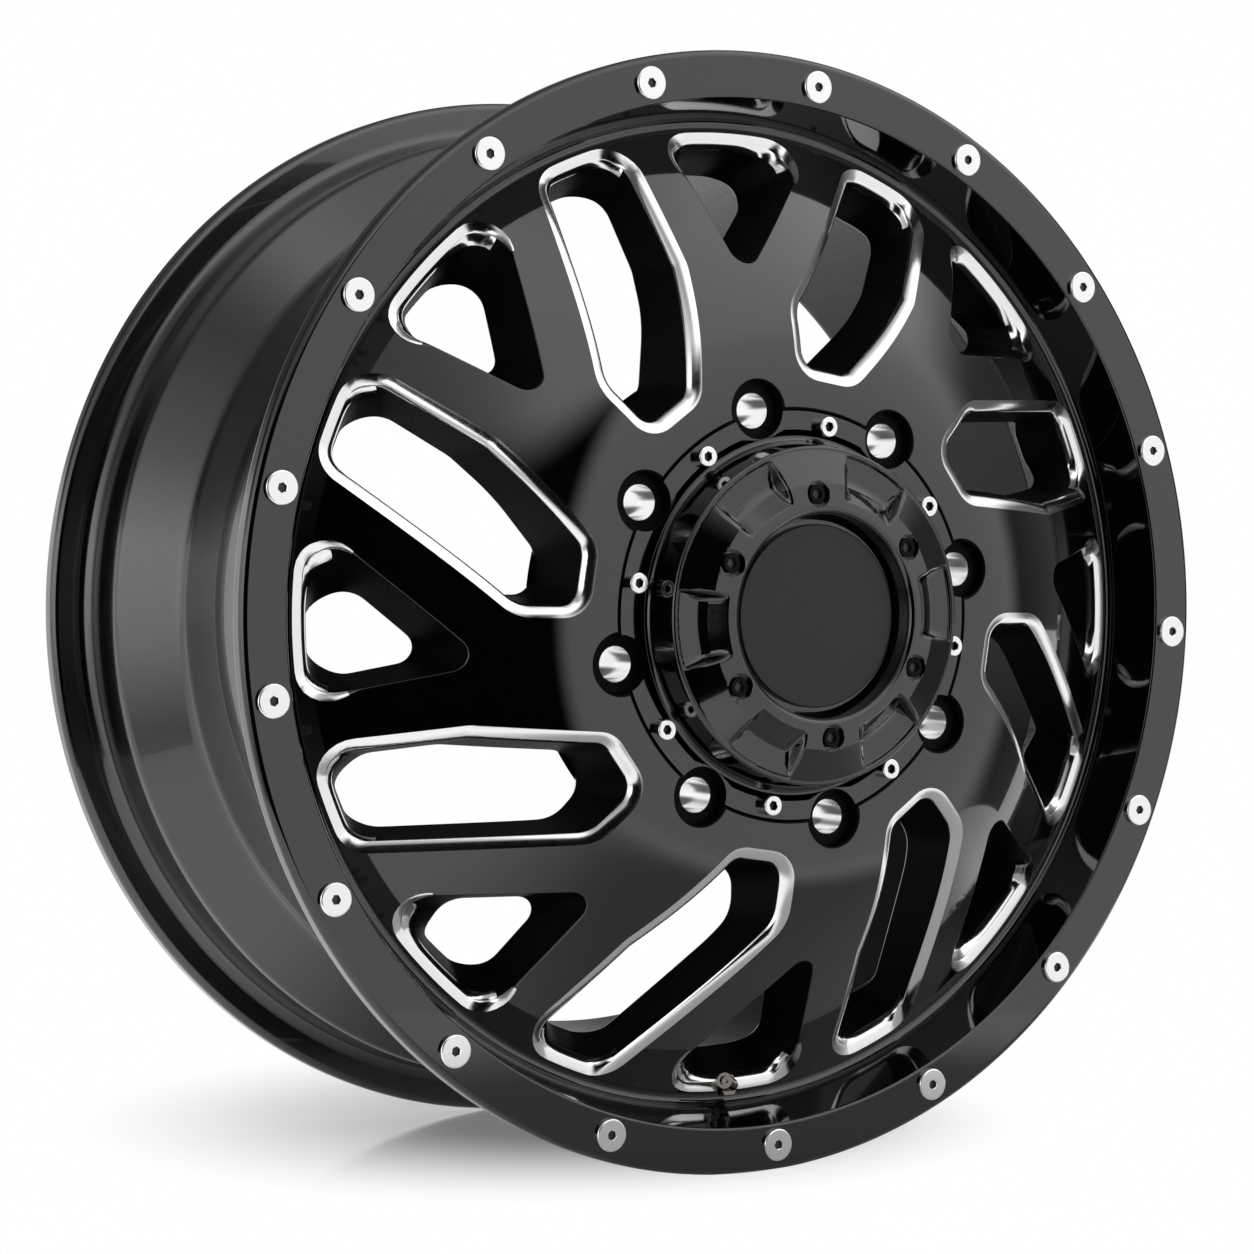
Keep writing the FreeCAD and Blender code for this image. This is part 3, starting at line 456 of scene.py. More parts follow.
class Window:
    """One window: its loops in plan at the face and at the back, its milled edge and its wall."""

    def __init__(self, loop, back, bevel_width):
        points, normals = loop
        radii = np.hypot(points[:, 0], points[:, 1])
        slope = np.interp(radii, DOME_R, DOME_SLOPE)
        rise = slope * (points * normals).sum(axis=1) / radii
        width = bevel_width(radii)
        self.face_loop = points + normals * (width / np.sqrt(1 + rise * rise))[:, None]
        foot = np.minimum(dome_y(radii) + width * BEVEL_FALL, THROAT_DEPTH - LIP_AHEAD)
        self.wide = width > 2 * EDGE
        self.towards = np.stack([-normals[:, 0], -np.ones(len(radii)), -normals[:, 1]], axis=-1)
        self.edge = self.edge_round(points, foot)
        base = matched(points, back)
        floor = back_y(np.hypot(base[:, 0], base[:, 1]))
        shares = np.linspace(0, 1, 9)[:, None]
        rim = smooth_step((radii - BARREL_IN_R) / 8.0)
        rounding = BACK_EDGE * smooth_step((BACK_RIM_R - np.hypot(base[:, 0], base[:, 1])) / 6.0)
        bow = SHELF_BOW * rim * np.sin(math.pi * shares ** 0.6)
        depth = foot * (1 - shares) + (floor - rounding) * shares - bow
        plan = points * (1 - shares[..., None]) + base * shares[..., None]
        self.wall = np.stack([plan[..., 0], depth, plan[..., 1]], axis=-1)
        self.shelf = rim > 0.5
        ahead = np.roll(base, -1, axis=0) - np.roll(base, 1, axis=0)
        outward = unit(np.c_[ahead[:, 1], -ahead[:, 0]])
        outward *= np.sign((outward * normals).sum(axis=1))[:, None]
        self.back_loop = base + outward * rounding[:, None]
        self.back = self.back_round(base, outward, rounding, floor - rounding)

    def edge_round(self, mouth, foot):
        """Milled edge: a convex round from the face to the wall, turning from 10 to 78 degrees."""
        turns = np.radians(np.linspace(10, 78, 8))[:, None]
        out = (math.sin(turns[-1, 0]) - np.sin(turns)) / (math.sin(turns[-1, 0]) - math.sin(turns[0, 0]))
        down = (math.cos(turns[0, 0]) - np.cos(turns)) / (math.cos(turns[0, 0]) - math.cos(turns[-1, 0]))
        plan = mouth + (self.face_loop - mouth) * out[..., None]
        top = dome_y(np.hypot(self.face_loop[:, 0], self.face_loop[:, 1]))
        return np.stack([plan[..., 0], top + (foot - top) * down, plan[..., 1]], axis=-1)

    @staticmethod
    def back_round(points, normals, edge, wall_end):
        """Quarter round from the wall to the spoke's back, whose size is edge."""
        turns = np.linspace(0, math.pi / 2, 5)[:, None]
        out = edge * (1 - np.cos(turns))
        plan_x = points[:, 0] + normals[:, 0] * out
        plan_z = points[:, 1] + normals[:, 1] * out
        start = np.hypot(points[:, 0], points[:, 1])
        fall = back_y(np.hypot(plan_x, plan_z)) - back_y(start)
        depth = wall_end + edge * np.sin(turns) + np.where(edge > 0, fall, 0.0)
        rounded = np.stack([plan_x, depth, plan_z], axis=-1)
        inward = np.cos(turns)
        backward = np.sin(turns) + 0 * out
        directions = np.stack([-normals[:, 0] * inward, backward, -normals[:, 1] * inward], axis=-1)
        return rounded, directions

    def add_to(self, shell):
        """Milled edge, then the wall and its back edge; thin edges stay in paint."""
        count = self.edge.shape[1]
        faces = grid_faces(len(self.edge), count)
        bright = self.wide[faces % count].all(axis=1)
        normals = grid_normals(self.edge, self.towards)
        shell.add_ring(self.edge, normals, faces[bright], WINDOW_COUNT, MILLED)
        shell.add_ring(self.edge, normals, faces[~bright], WINDOW_COUNT, PAINT)
        wall_normals = grid_normals(self.wall, self.towards)
        faces = grid_faces(len(self.wall), count)
        bright = (faces < SHELF_ROWS * count).all(axis=1) & self.shelf[faces % count].all(axis=1)
        shell.add_ring(self.wall, wall_normals, faces[bright], WINDOW_COUNT, MILLED)
        # The rest of the wall takes painted shade: a darker, duller copy of the lacquer
        shell.add_ring(self.wall, wall_normals, faces[~bright], WINDOW_COUNT, SHADED)
        shell.add_ring(self.back[0], self.back[1], grid_faces(5, count), WINDOW_COUNT, PAINT)


def hub_loop(recess, pocket, steps=9):
    """Edge of the hub's recess with the stud pockets that break through it, clockwise from a stud.

    A pocket's arc leaves the recess where recess^2 = circle^2 + pocket^2 + 2 circle pocket cos(angle).
    """
    turn = math.acos((recess ** 2 - LUG_CIRCLE_R ** 2 - pocket ** 2) / (2 * LUG_CIRCLE_R * pocket))
    angles = np.linspace(-turn, turn, 4 * steps)
    arc = np.c_[pocket * np.sin(angles), LUG_CIRCLE_R + pocket * np.cos(angles)]
    edge = math.atan2(arc[-1, 0], arc[-1, 1])
    clocks = np.linspace(edge, TURN / LUG_COUNT - edge, 2 * steps)[1:-1]
    rim = np.c_[recess * np.sin(clocks), recess * np.cos(clocks)]
    sector = np.concatenate([arc, rim])
    normals = np.concatenate([np.c_[np.sin(angles), np.cos(angles)], unit(rim)])
    loop = np.concatenate([on_clock(sector, clock) for clock in LUG_CLOCKS])
    return loop, np.concatenate([on_clock(normals, clock) for clock in LUG_CLOCKS])


def circle(radius, count, x=0.0, z=0.0):
    """Even points (x + r sin t, z + r cos t) on a circle in plan."""
    angles = np.arange(count) * TURN / count
    return np.c_[x + radius * np.sin(angles), z + radius * np.cos(angles)]


def lug_circles(radius, count):
    """A circle of that radius about every stud."""
    return [circle(radius, count, LUG_CIRCLE_R * math.sin(clock), LUG_CIRCLE_R * math.cos(clock))
            for clock in LUG_CLOCKS]


def add_plan(shell, loops, fill, height, sign, finish=PAINT):
    """Adds the plan inside the last loop and outside the others, lifted to Y = height(x, z).

    fill are the loose points in between; sign is 1 for a surface that faces back, -1 for the front.
    """
    plan, faces = plan_mesh(loops, fill)
    middle = plan[faces].mean(axis=1)
    keep = inside(middle, loops[-1])
    for loop in loops[:-1]:
        keep &= ~inside(middle, loop)
    points, normals = lift(plan, height)
    shell.add(points, normals * sign, faces[keep], finish)


def add_face(shell, windows):
    """Front of the face: the plan between hub, windows and rim, lifted to the dome."""
    hub, unused = hub_loop(RECESS_R + LUG_EDGE, LUG_POCKET_R + LUG_EDGE)
    holes = [on_clock(window.face_loop, TURN * number / WINDOW_COUNT)
             for window in windows for number in range(WINDOW_COUNT)]
    loops = [hub] + holes + [circle(FACE_END_R, RIM_LINE)]
    add_plan(shell, loops, ring_points(RECESS_R, FACE_END_R, 4.0), dome_height, -1)


def add_back(shell, windows):
    """Backs of the spokes, between the pad, the windows and the inside of the barrel."""
    holes = [on_clock(window.back_loop, TURN * number / WINDOW_COUNT)
             for window in windows for number in range(WINDOW_COUNT)]
    barrel = circle(BARREL_IN_R, RIM_LINE)
    pad = circle(PAD_R + PAD_STEP, PAD_LINE)
    loops = [pad] + holes + [barrel]
    # Rows that come closer as the fillet steepens towards the barrel
    heel = [circle(radius, RIM_LINE) for radius in (209.5, 211.5, 213.2, 214.8, 216.2)]
    fill = np.concatenate([ring_points(PAD_R, BARREL_IN_R, 5.0)] + heel)
    add_plan(shell, loops, fill, lambda x, z: back_y(np.hypot(x, z)), 1)


# Hub, barrel and lips

def rim_path(corners):
    """Section corners given as radius, depth and round, as a path of radius and Y."""
    path, normals = rounded_path([(r, depth - LIP_AHEAD, turn) for r, depth, turn in corners], False)
    return path, normals


def add_hub(shell):
    """Recess with its stud pockets, bright stud holes, the pad behind and the bore."""
    turns = np.linspace(0, math.pi / 2, 5)
    growths = LUG_EDGE * (1 - np.sin(turns))
    loops = [hub_loop(RECESS_R + growth, LUG_POCKET_R + growth) for growth in growths]
    rows, directions = [], []
    for turn, (loop, outward) in zip(turns, loops):
        radii = np.hypot(loop[:, 0], loop[:, 1])
        depth = dome_y(np.maximum(radii, RECESS_R)) + LUG_EDGE * (1 - math.cos(turn))
        rows.append(np.c_[loop[:, 0], depth, loop[:, 1]])
        directions.append(np.c_[-outward[:, 0] * math.sin(turn), np.full(len(loop), -math.cos(turn)),
                                -outward[:, 1] * math.sin(turn)])
    last, outward = loops[-1]
    rows.append(np.c_[last[:, 0], np.full(len(last), HUB_FLOOR), last[:, 1]])
    directions.append(directions[-1])
    # The pockets' walls and the recess floor take painted shade: a darker, duller copy of the lacquer
    shell.add(np.stack(rows), np.stack(directions), grid_faces(len(rows), len(last)), SHADED)
    holes = lug_circles(LUG_HOLE_R, HOLE_LINE)
    bore = circle(HUB_BORE_R, BORE_LINE)
    add_flat(shell, [bore] + holes + [last], HUB_FLOOR, -1, SHADED)
    lead = circle(HUB_BORE_R + BORE_LEAD, BORE_LINE)
    add_flat(shell, [lead] + holes + [circle(PAD_R, PAD_LINE)], 0.0, 1)
    wall = np.stack([np.c_[holes[0][:, 0], np.full(HOLE_LINE, level), holes[0][:, 1]]
                     for level in (HUB_FLOOR, 0.0)])
    centre = LUG_CIRCLE_R * np.array([math.sin(LUG_CLOCKS[0]), 0, math.cos(LUG_CLOCKS[0])])
    inward = (centre - wall) * np.array([1, 0, 1])
    shell.add_ring(wall, inward, grid_faces(2, HOLE_LINE), LUG_COUNT, BORED)
    path, normals = rounded_path([(HUB_BORE_R + BORE_LEAD, 0.0, 0), (HUB_BORE_R, -BORE_LEAD, 0),
                                  (HUB_BORE_R, HUB_FLOOR, 0)], False)
    shell.add_turned(path, normals, np.arange(BORE_LINE) * TURN / BORE_LINE)
    path, normals = rounded_path([(PAD_R + PAD_STEP, -PAD_STEP, 0), (PAD_R, 0.0, 0)], False)
    shell.add_turned(path, normals, np.arange(PAD_LINE) * TURN / PAD_LINE)


def add_flat(shell, loops, level, sign, finish=PAINT):
    """Flat ring between its first and last loop, with the loops in between as holes."""
    fill = ring_points(np.hypot(*loops[0][0]), np.hypot(*loops[-1].T).max(), 5.0)
    add_plan(shell, loops, fill, lambda x, z: 0 * x + level, sign, finish)


def add_barrel(shell):
    """Front lip, tyre seats, drop well, back lip and the inside, as corners of radius, depth and round.

    The tyre side is the same at both ends, so each of its corners is written once and mirrored.
    """
    even = np.arange(RIM_LINE) * TURN / RIM_LINE
    seat = dome_y(FACE_END_R) + LIP_AHEAD
    back = RIM_WIDTH
    lip = [(FACE_END_R, seat, 0), (241.2, 30.9, 3.5), (251.0, 0.0, 1.6), (FLANGE_R, 0.0, FLANGE_ROUND)]
    seat_side = [(FLANGE_R, 11.9, 4.2), (SEAT_R + 2.0, 12.4, 7.4), (SEAT_R, 38.0, 2.0),
                 (SEAT_R + 1.0, 41.7, 2.0), (SEAT_R, 45.5, 5.0)]
    far_side = [(r, back - depth, turn) for r, depth, turn in seat_side[::-1]]
    well = [(WELL_R, 69.5, 10.0), (WELL_R, back - 66.5, 10.0)]
    inner = [(FLANGE_R, back, FLANGE_ROUND), (262.0, back, 2.0), (256.5, back - 6.5, 3.0),
             (INNER_R, back - 22.0, 14.0), (INNER_R, back - 44.0, 10.0), (BARREL_IN_R, back - 67.0, 14.0),
             (BARREL_IN_R, THROAT_END, 0)]
    outside = rim_path(lip + seat_side + well + far_side + inner)
    lip_end = np.argmax((outside[0][:, 0] > FLANGE_R - 0.1) & (outside[0][:, 1] > -5.0))
    shell.add_turned(outside[0][:lip_end + 1], outside[1][:lip_end + 1], even)
    mouth = len(outside[0]) - np.argmax(outside[0][::-1, 1] > back - 1.0 - LIP_AHEAD) - 1
    shell.add_turned(outside[0][lip_end:mouth + 1], outside[1][lip_end:mouth + 1], even, BARREL)
    # The inside of the barrel takes painted shade: a darker, duller copy of the enamel
    shell.add_turned(outside[0][mouth:], outside[1][mouth:], even, INSIDE)


def make_wheel(finishes):
    """The casting: face, windows, spokes' backs, hub and barrel in one shell."""
    long_loop = window_loop(LONG_SIDES, LONG_LEFT, LONG_RIGHT, THROAT_R, LONG_RIM_ROUND, steps=8, gap=2.5)
    small_loop = window_loop(SMALL_TIP, SMALL_LEFT, SMALL_RIGHT, THROAT_R, SMALL_RIM_ROUND, steps=8, gap=2.5)
    back = inset(LONG_SIDES, LONG_LEFT, LONG_RIGHT, LONG_DRAFT, LONG_BACK_ROUNDS)
    long_back = window_loop(*back, BACK_RIM_R, LONG_BACK_RIM_ROUND, steps=12, gap=1.0)[0]
    back = inset(SMALL_TIP, SMALL_LEFT, SMALL_RIGHT, SMALL_DRAFT, SMALL_BACK_ROUNDS)
    small_back = window_loop(*back, BACK_RIM_R, SMALL_BACK_RIM_ROUND, steps=12, gap=1.0)[0]
    windows = [Window(long_loop, long_back, long_bevel), Window(small_loop, small_back, small_bevel)]
    shell = Shell()
    add_face(shell, windows)
    for window in windows:
        window.add_to(shell)
    add_back(shell, windows)
    add_hub(shell)
    add_barrel(shell)
    return shell.piece("wheel_casting", finishes, "wheel", "gloss_black")


# Centre cap and its plate

CAP_FLANGE_R = 97.9
CAP_SCALLOP_R = 13.8
CAP_FOOT_R = 83.5
CAP_FOOT_ROUND = 2.5
CAP_EDGE = (80.6, 17.0)
CAP_EDGE_ROUND = 1.4
CAP_BORE_R = 74.5
CAP_ROOF = 10.5
CAP_RIM = (51.5, 26.2)
CAP_RIM_ROUND = 3.0
CAP_WELL = (45.6, 14.5)
CAP_TOP_IN, CAP_TOP_OUT = 50.0, 79.2
CAP_CLOCK = math.radians(-4.2)
NOTCH_COUNT = 6
NOTCH_HALF = math.radians(13.5)
NOTCH_SOFT = 2.2
CAP_SLOPES = ((79.2, 18.4, 0), (63.0, 24.5, 3.0), (51.5, 26.2, 0))
NOTCH_SLOPES = ((79.2, 18.4, 0), (77.9, 18.9, 0.5), (77.1, 17.2, 0.6), (65.0, 16.6, 7.0),
                (55.4, 25.6, 1.0), (51.5, 26.2, 0))
CAP_BOLT_CIRCLE_R = 57.8
POCKET_R = 6.2
POCKET_EDGE = 0.25
POCKET_FLOOR = 21.0
PLATE_R = 43.6
PLATE_THICK = 3.0
PLATE_EDGE = 0.8


def slope_height(radius, slopes):
    """Height ahead of the hub face on a rounded path of radius and height, ending in the rim's round."""
    path, unused = rounded_path(slopes, False)
    across = np.clip((CAP_RIM[0] - radius) / CAP_RIM_ROUND, 0, 1)
    fall = CAP_RIM_ROUND * (1 - np.sqrt(1 - across * across))
    return np.interp(radius, path[::-1, 0], path[::-1, 1]) - fall


def cap_y(x, z):
    """Top of the cap: its two slopes, which change into a notch over a soft edge at each side."""
    radius = np.hypot(x, z)
    sector = TURN / NOTCH_COUNT
    from_bolt = (np.arctan2(x, z) - CAP_CLOCK) % sector
    into = (NOTCH_HALF - np.abs(from_bolt - sector / 2)) * radius
    share = smooth_step(into / NOTCH_SOFT + 0.5)
    plain, cut = slope_height(radius, CAP_SLOPES), slope_height(radius, NOTCH_SLOPES)
    return HUB_FACE - plain * (1 - share) - cut * share


def cap_top_points():
    """Rows and columns of points that are closer where the slopes and the notches' sides turn."""
    radii = np.concatenate([
        np.arange(51.0, 54.0, 1.0), np.arange(54.0, 57.0, 0.45), np.arange(57.0, 62.0, 1.0),
        np.arange(62.0, 66.0, 0.45), np.arange(66.0, 76.4, 1.6), np.arange(76.4, 78.6, 0.24),
    ])
    sector = TURN / NOTCH_COUNT
    near_edge = np.radians([-0.8, -0.45, -0.3, -0.18, -0.06, 0.06, 0.18, 0.3, 0.45, 0.8])
    sides = np.concatenate([sector / 2 - NOTCH_HALF + near_edge, sector / 2 + NOTCH_HALF + near_edge])
    even = np.radians(np.arange(0.0, 60.0, 2.0))
    even = even[np.abs(even[:, None] - sides).min(axis=1) > math.radians(0.8)]
    columns = np.concatenate([sides, even])
    angles = (columns[:, None] + sector * np.arange(NOTCH_COUNT)).ravel() + CAP_CLOCK
    r, t = [part.ravel() for part in np.meshgrid(radii, angles, indexing="ij")]
    return np.c_[r * np.sin(t), r * np.cos(t)]


def cap_outline():
    """Edge of the cap's flange: a circle with a scallop round each stud pocket."""
    scallop, outer = CAP_SCALLOP_R, CAP_FLANGE_R
    turn = math.acos((LUG_CIRCLE_R ** 2 + scallop ** 2 - outer ** 2) / (2 * LUG_CIRCLE_R * scallop))
    angles = math.pi + np.linspace(turn, -turn, 24)
    arc = np.c_[scallop * np.sin(angles), LUG_CIRCLE_R + scallop * np.cos(angles)]
    arc_normals = -np.c_[np.sin(angles), np.cos(angles)]
    edge = math.atan2(abs(arc[0, 0]), arc[0, 1])
    clocks = np.linspace(edge, TURN / LUG_COUNT - edge, 14)[1:-1]
    rim = np.c_[outer * np.sin(clocks), outer * np.cos(clocks)]
    if arc[0, 0] > 0:
        arc, arc_normals = arc[::-1], arc_normals[::-1]
    sector, normals = np.concatenate([arc, rim]), np.concatenate([arc_normals, unit(rim)])
    loop = np.concatenate([on_clock(sector, clock) for clock in LUG_CLOCKS])
    return loop, np.concatenate([on_clock(normals, clock) for clock in LUG_CLOCKS])


def make_cap(black):
    """Flange, tapered drum, notched slopes with bolt pockets, the recess for the plate, and the inside."""
    shell = Shell()
    even = np.arange(CAP_LINE) * TURN / CAP_LINE
    outline, outward = cap_outline()
    add_flat(shell, [circle(CAP_FOOT_R + CAP_FOOT_ROUND, CAP_LINE), outline], HUB_FACE, -1)
    add_flat(shell, [circle(CAP_BORE_R, CAP_LINE), outline], HUB_FLOOR, 1)
    wall = np.stack([np.c_[outline[:, 0], np.full(len(outline), level), outline[:, 1]]
                     for level in (HUB_FACE, HUB_FLOOR)])
    sideways = np.c_[outward[:, 0], np.zeros(len(outline)), outward[:, 1]]
    shell.add(wall, np.stack([sideways, sideways]), grid_faces(2, len(outline)))
    foot, edge = (CAP_FOOT_R, HUB_FACE), (CAP_EDGE[0], HUB_FACE - CAP_EDGE[1] - CAP_EDGE_ROUND)
    drum, drum_normals = rounded_path([
        (CAP_TOP_OUT, cap_y(np.array([0.0]), np.array([CAP_TOP_OUT]))[0], 0), (*edge, CAP_EDGE_ROUND),
        (*foot, CAP_FOOT_ROUND), (CAP_FOOT_R + CAP_FOOT_ROUND, HUB_FACE, 0)], False)
    drum[-1] = (CAP_FOOT_R + CAP_FOOT_ROUND, HUB_FACE)
    shell.add_turned(drum, -drum_normals, even)
    pockets = [on_clock(circle(POCKET_R + POCKET_EDGE, 48, 0.0, CAP_BOLT_CIRCLE_R),
                        CAP_CLOCK + TURN * number / NOTCH_COUNT) for number in range(NOTCH_COUNT)]
    loops = [circle(CAP_TOP_IN, CAP_LINE)] + pockets + [circle(CAP_TOP_OUT, CAP_LINE)]
    add_plan(shell, loops, cap_top_points(), cap_y, -1)
    for pocket in pockets:
        add_pocket(shell, pocket)
    turns = np.arcsin(np.linspace((CAP_RIM[0] - CAP_TOP_IN) / CAP_RIM_ROUND, 1, 8))
    lip = np.c_[CAP_RIM[0] - CAP_RIM_ROUND * np.sin(turns),
                HUB_FACE - CAP_RIM[1] + CAP_RIM_ROUND * (1 - np.cos(turns))]
    well = np.array([(CAP_WELL[0], HUB_FACE - CAP_WELL[1]), (0.0, HUB_FACE - CAP_WELL[1])])
    shell.add_turned(lip, np.c_[-np.sin(turns), -np.cos(turns)], even)
    cone = np.stack([lip[-1], well[0]])
    lean = unit(np.array([[cone[1, 1] - cone[0, 1], cone[0, 0] - cone[1, 0]]])) * -1
    shell.add_turned(cone, np.repeat(lean, 2, axis=0), even)
    shell.add_turned(well, np.array([(0.0, -1.0), (0.0, -1.0)]), even)
    roof = HUB_FACE - CAP_ROOF
    room, room_normals = rounded_path([(CAP_BORE_R, HUB_FLOOR, 0), (CAP_BORE_R, roof, 3.0),
                                       (0.0, roof, 0)], False)
    shell.add_turned(room, -room_normals * np.sign(room_normals[0, 0]), even)
    return shell.piece("cap_casting", [black], "centre_cap", "cap_black")


def add_pocket(shell, rim):
    """Round pocket for a bolt: a broken edge, a wall and a flat floor, as rows of rings."""
    centre = rim.mean(axis=0)
    inner = centre + (rim - centre) * POCKET_R / (POCKET_R + POCKET_EDGE)
    top = cap_y(rim[:, 0], rim[:, 1])
    low = cap_y(inner[:, 0], inner[:, 1]) + POCKET_EDGE
    floor = np.full(len(rim), HUB_FACE - POCKET_FLOOR)
    point = np.repeat(centre[None], len(rim), axis=0)
    towards = np.c_[centre[0] - rim[:, 0], np.full(len(rim), -1.0), centre[1] - rim[:, 1]]
    rings = [np.c_[rim[:, 0], top, rim[:, 1]], np.c_[inner[:, 0], low, inner[:, 1]],
             np.c_[inner[:, 0], floor, inner[:, 1]], np.c_[point[:, 0], floor, point[:, 1]]]
    for upper, lower in zip(rings[:-1], rings[1:]):
        strip = np.stack([upper, lower])
        shell.add(strip, grid_normals(strip, towards), grid_faces(2, len(rim)))


def make_plate(black):
    """Round plate: flat front, a small round on its edge, and its back."""
    shell = Shell()
    foot = HUB_FACE - CAP_WELL[1]
    front = foot - PLATE_THICK
    path, normals = rounded_path([(0.0, front, 0), (PLATE_R, front, PLATE_EDGE), (PLATE_R, foot, 0),
                                  (0.0, foot, 0)], False)
    shell.add_turned(path, normals, np.arange(CAP_LINE) * TURN / CAP_LINE)
    return shell.piece("plate", [black], "cap_plate", "satin_black")


# Fasteners

def make_fasteners(name, finishes, node, slot, seat, place, head, key, shank):
    """Round heads with a hexagon socket, as rings whose radius follows a circle or the hexagon.

    place is their circle, first clock angle and count; head its radius, height and edge round; key the
    socket's width and depth; shank its radius and length. A hexagon's radius is half its width over the
    cosine of the angle from the nearest flat.
    """
    shell = Shell()
    count = 48
    angles = np.arange(count) * TURN / count
    flats = (angles + TURN / 12) % (TURN / 6) - TURN / 12
    hexagon = key[0] / 2 / np.cos(flats)
    radius, high, rounding = head
    top = seat - high
    lead = 0.3
    turns = np.linspace(0, math.pi / 2, 6)

    def ring(across, level):
        return np.c_[across * np.sin(angles), np.full(count, level), place[0] + across * np.cos(angles)]

    strips = [
        [ring(0 * hexagon, top + key[1]), ring(hexagon, top + key[1])],
        [ring(hexagon, top + key[1]), ring(hexagon, top + lead)],
        [ring(hexagon, top + lead), ring(hexagon + lead, top)],
        [ring(hexagon + lead, top), ring(radius - rounding + 0 * hexagon, top)],
        [ring(radius - rounding * (1 - math.sin(turn)) + 0 * hexagon, top + rounding * (1 - math.cos(turn)))
         for turn in turns],
        [ring(radius + 0 * hexagon, top + rounding), ring(radius + 0 * hexagon, seat)],
        [ring(radius + 0 * hexagon, seat), ring(shank[0] + 0 * hexagon, seat)],
        [ring(shank[0] + 0 * hexagon, seat), ring(shank[0] + 0 * hexagon, seat + shank[1])],
        [ring(shank[0] + 0 * hexagon, seat + shank[1]), ring(0 * hexagon, seat + shank[1])],
    ]
    for number, strip in enumerate(strips):
        grid = np.stack(strip)
        # The socket's floor and walls take the grey socket metal: painted shade on the pale bolts and screws
        finish = 1 if number < 2 else 0
        shell.add_ring(grid, grid_normals(grid), grid_faces(len(strip), count), place[2], finish,
                       math.radians(place[1]))
    return shell.piece(name, finishes, node, slot)


# Finishes

def linear(code):
    """sRGB hex to linear red, green, blue and alpha."""
    values = [int(code[k:k + 2], 16) / 255 for k in (1, 3, 5)]
    return [v / 12.92 if v <= 0.04045 else ((v + 0.055) / 1.055) ** 2.4 for v in values] + [1.0]


def node(tree, kind, links=(), **settings):
    """Adds a node, sets its properties or inputs by name, and links (output, input) pairs to it."""
    made = tree.nodes.new(kind)
    for name, value in settings.items():
        if hasattr(made, name):
            setattr(made, name, value)
        else:
            made.inputs[name.replace("_", " ")].default_value = value
    for output, name in links:
        tree.links.new(output, made.inputs[name])
    return made


def finish(name, code, metallic, rough, grain, wave, coat=0.0, ior=1.5):
    """Shader whose roughness runs between two values over a grain, and whose surface waves with it.

    grain is the size of the pattern and wave its height, both in millimetres.
    """
    material = bpy.data.materials.new(name)
    material.use_nodes = True
    tree = material.node_tree
    shader = tree.nodes["Principled BSDF"]
    shader.inputs["Base Color"].default_value = linear(code)
    shader.inputs["Metallic"].default_value = metallic
    shader.inputs["IOR"].default_value = ior
    shader.inputs["Coat Weight"].default_value = coat
    shader.inputs["Coat Roughness"].default_value = 0.02
    place = node(tree, "ShaderNodeTexCoord")
    noise = node(tree, "ShaderNodeTexNoise", [(place.outputs["Object"], "Vector")],
                 Scale=1 / (grain * MM), Detail=3.0, Roughness=0.55)
    spread = node(tree, "ShaderNodeMapRange", [(noise.outputs["Fac"], "Value")],
                  From_Min=0.3, From_Max=0.7, To_Min=rough[0], To_Max=rough[1])
    bump = node(tree, "ShaderNodeBump", [(noise.outputs["Fac"], "Height")], Distance=wave * MM)
    tree.links.new(spread.outputs["Result"], shader.inputs["Roughness"])
    tree.links.new(bump.outputs["Normal"], shader.inputs["Normal"])
    return material


# Black lacquer under a clear coat: deep and mirror-like, with a faint orange peel about 4 mm wide
lacquer = finish("gloss_black_lacquer", "#060607", 0.0, (0.05, 0.09), 4.0, 0.002, coat=1.0)
# Painted shade: a darker, duller copy of the lacquer that reflects little, for the window walls, the hub's
# recess and the stud pockets
shade_lacquer = finish("shaded_black_lacquer", "#050505", 0.0, (0.45, 0.6), 1.5, 0.02, ior=1.2)
# Black enamel of the barrel, without a clear coat: its reflections spread into soft bands
enamel = finish("satin_black_enamel", "#070708", 0.0, (0.16, 0.22), 3.0, 0.002, coat=1.0, ior=1.65)
# Painted shade: a darker, duller copy of the barrel's enamel, without its coat, inside the barrel
shade_enamel = finish("shaded_black_enamel", "#060606", 0.0, (0.35, 0.42), 3.0, 0.006, ior=1.3)
# Aluminium cut by a ball-nosed mill and polished: bright, with a faint ripple about 2.5 mm long
milled = finish("milled_aluminium", "#F3F4F5", 1.0, (0.13, 0.17), 2.5, 0.0003)
# Aluminium bored by a drill and bright
bored = finish("bored_aluminium", "#FDFDFD", 1.0, (0.14, 0.2), 0.8, 0.002)
# Black powder coat of the plate: even and satin, with a fine grit
powder = finish("satin_black_powder", "#0D0D0E", 0.0, (0.3, 0.38), 0.7, 0.003)
# Zinc-plated steel of the bolts and screws: pale and bright, with a soft sheen
steel = finish("zinc_plated_steel", "#FDFDFC", 1.0, (0.16, 0.22), 2.0, 0.001)
# Inside of a key socket: a plain mid grey metal, which on the pale bolts and screws is painted shade in the
# socket
socket = finish("broached_steel", "#4A4A4B", 1.0, (0.35, 0.5), 0.8, 0.005)
# Black oxide on steel: dull grey-black metal
oxide = finish("black_oxide_steel", "#1B1B1C", 1.0, (0.28, 0.4), 1.0, 0.004)
# Nickel plating on brass, darkened: a smoky, slightly warm metal
nickel = finish("nickel_plated_brass", "#7A766F", 1.0, (0.12, 0.22), 1.5, 0.003)
# Moulded rubber: matt black with a fine grain
rubber = finish("moulded_rubber", "#141414", 0.0, (0.6, 0.75), 0.6, 0.01)

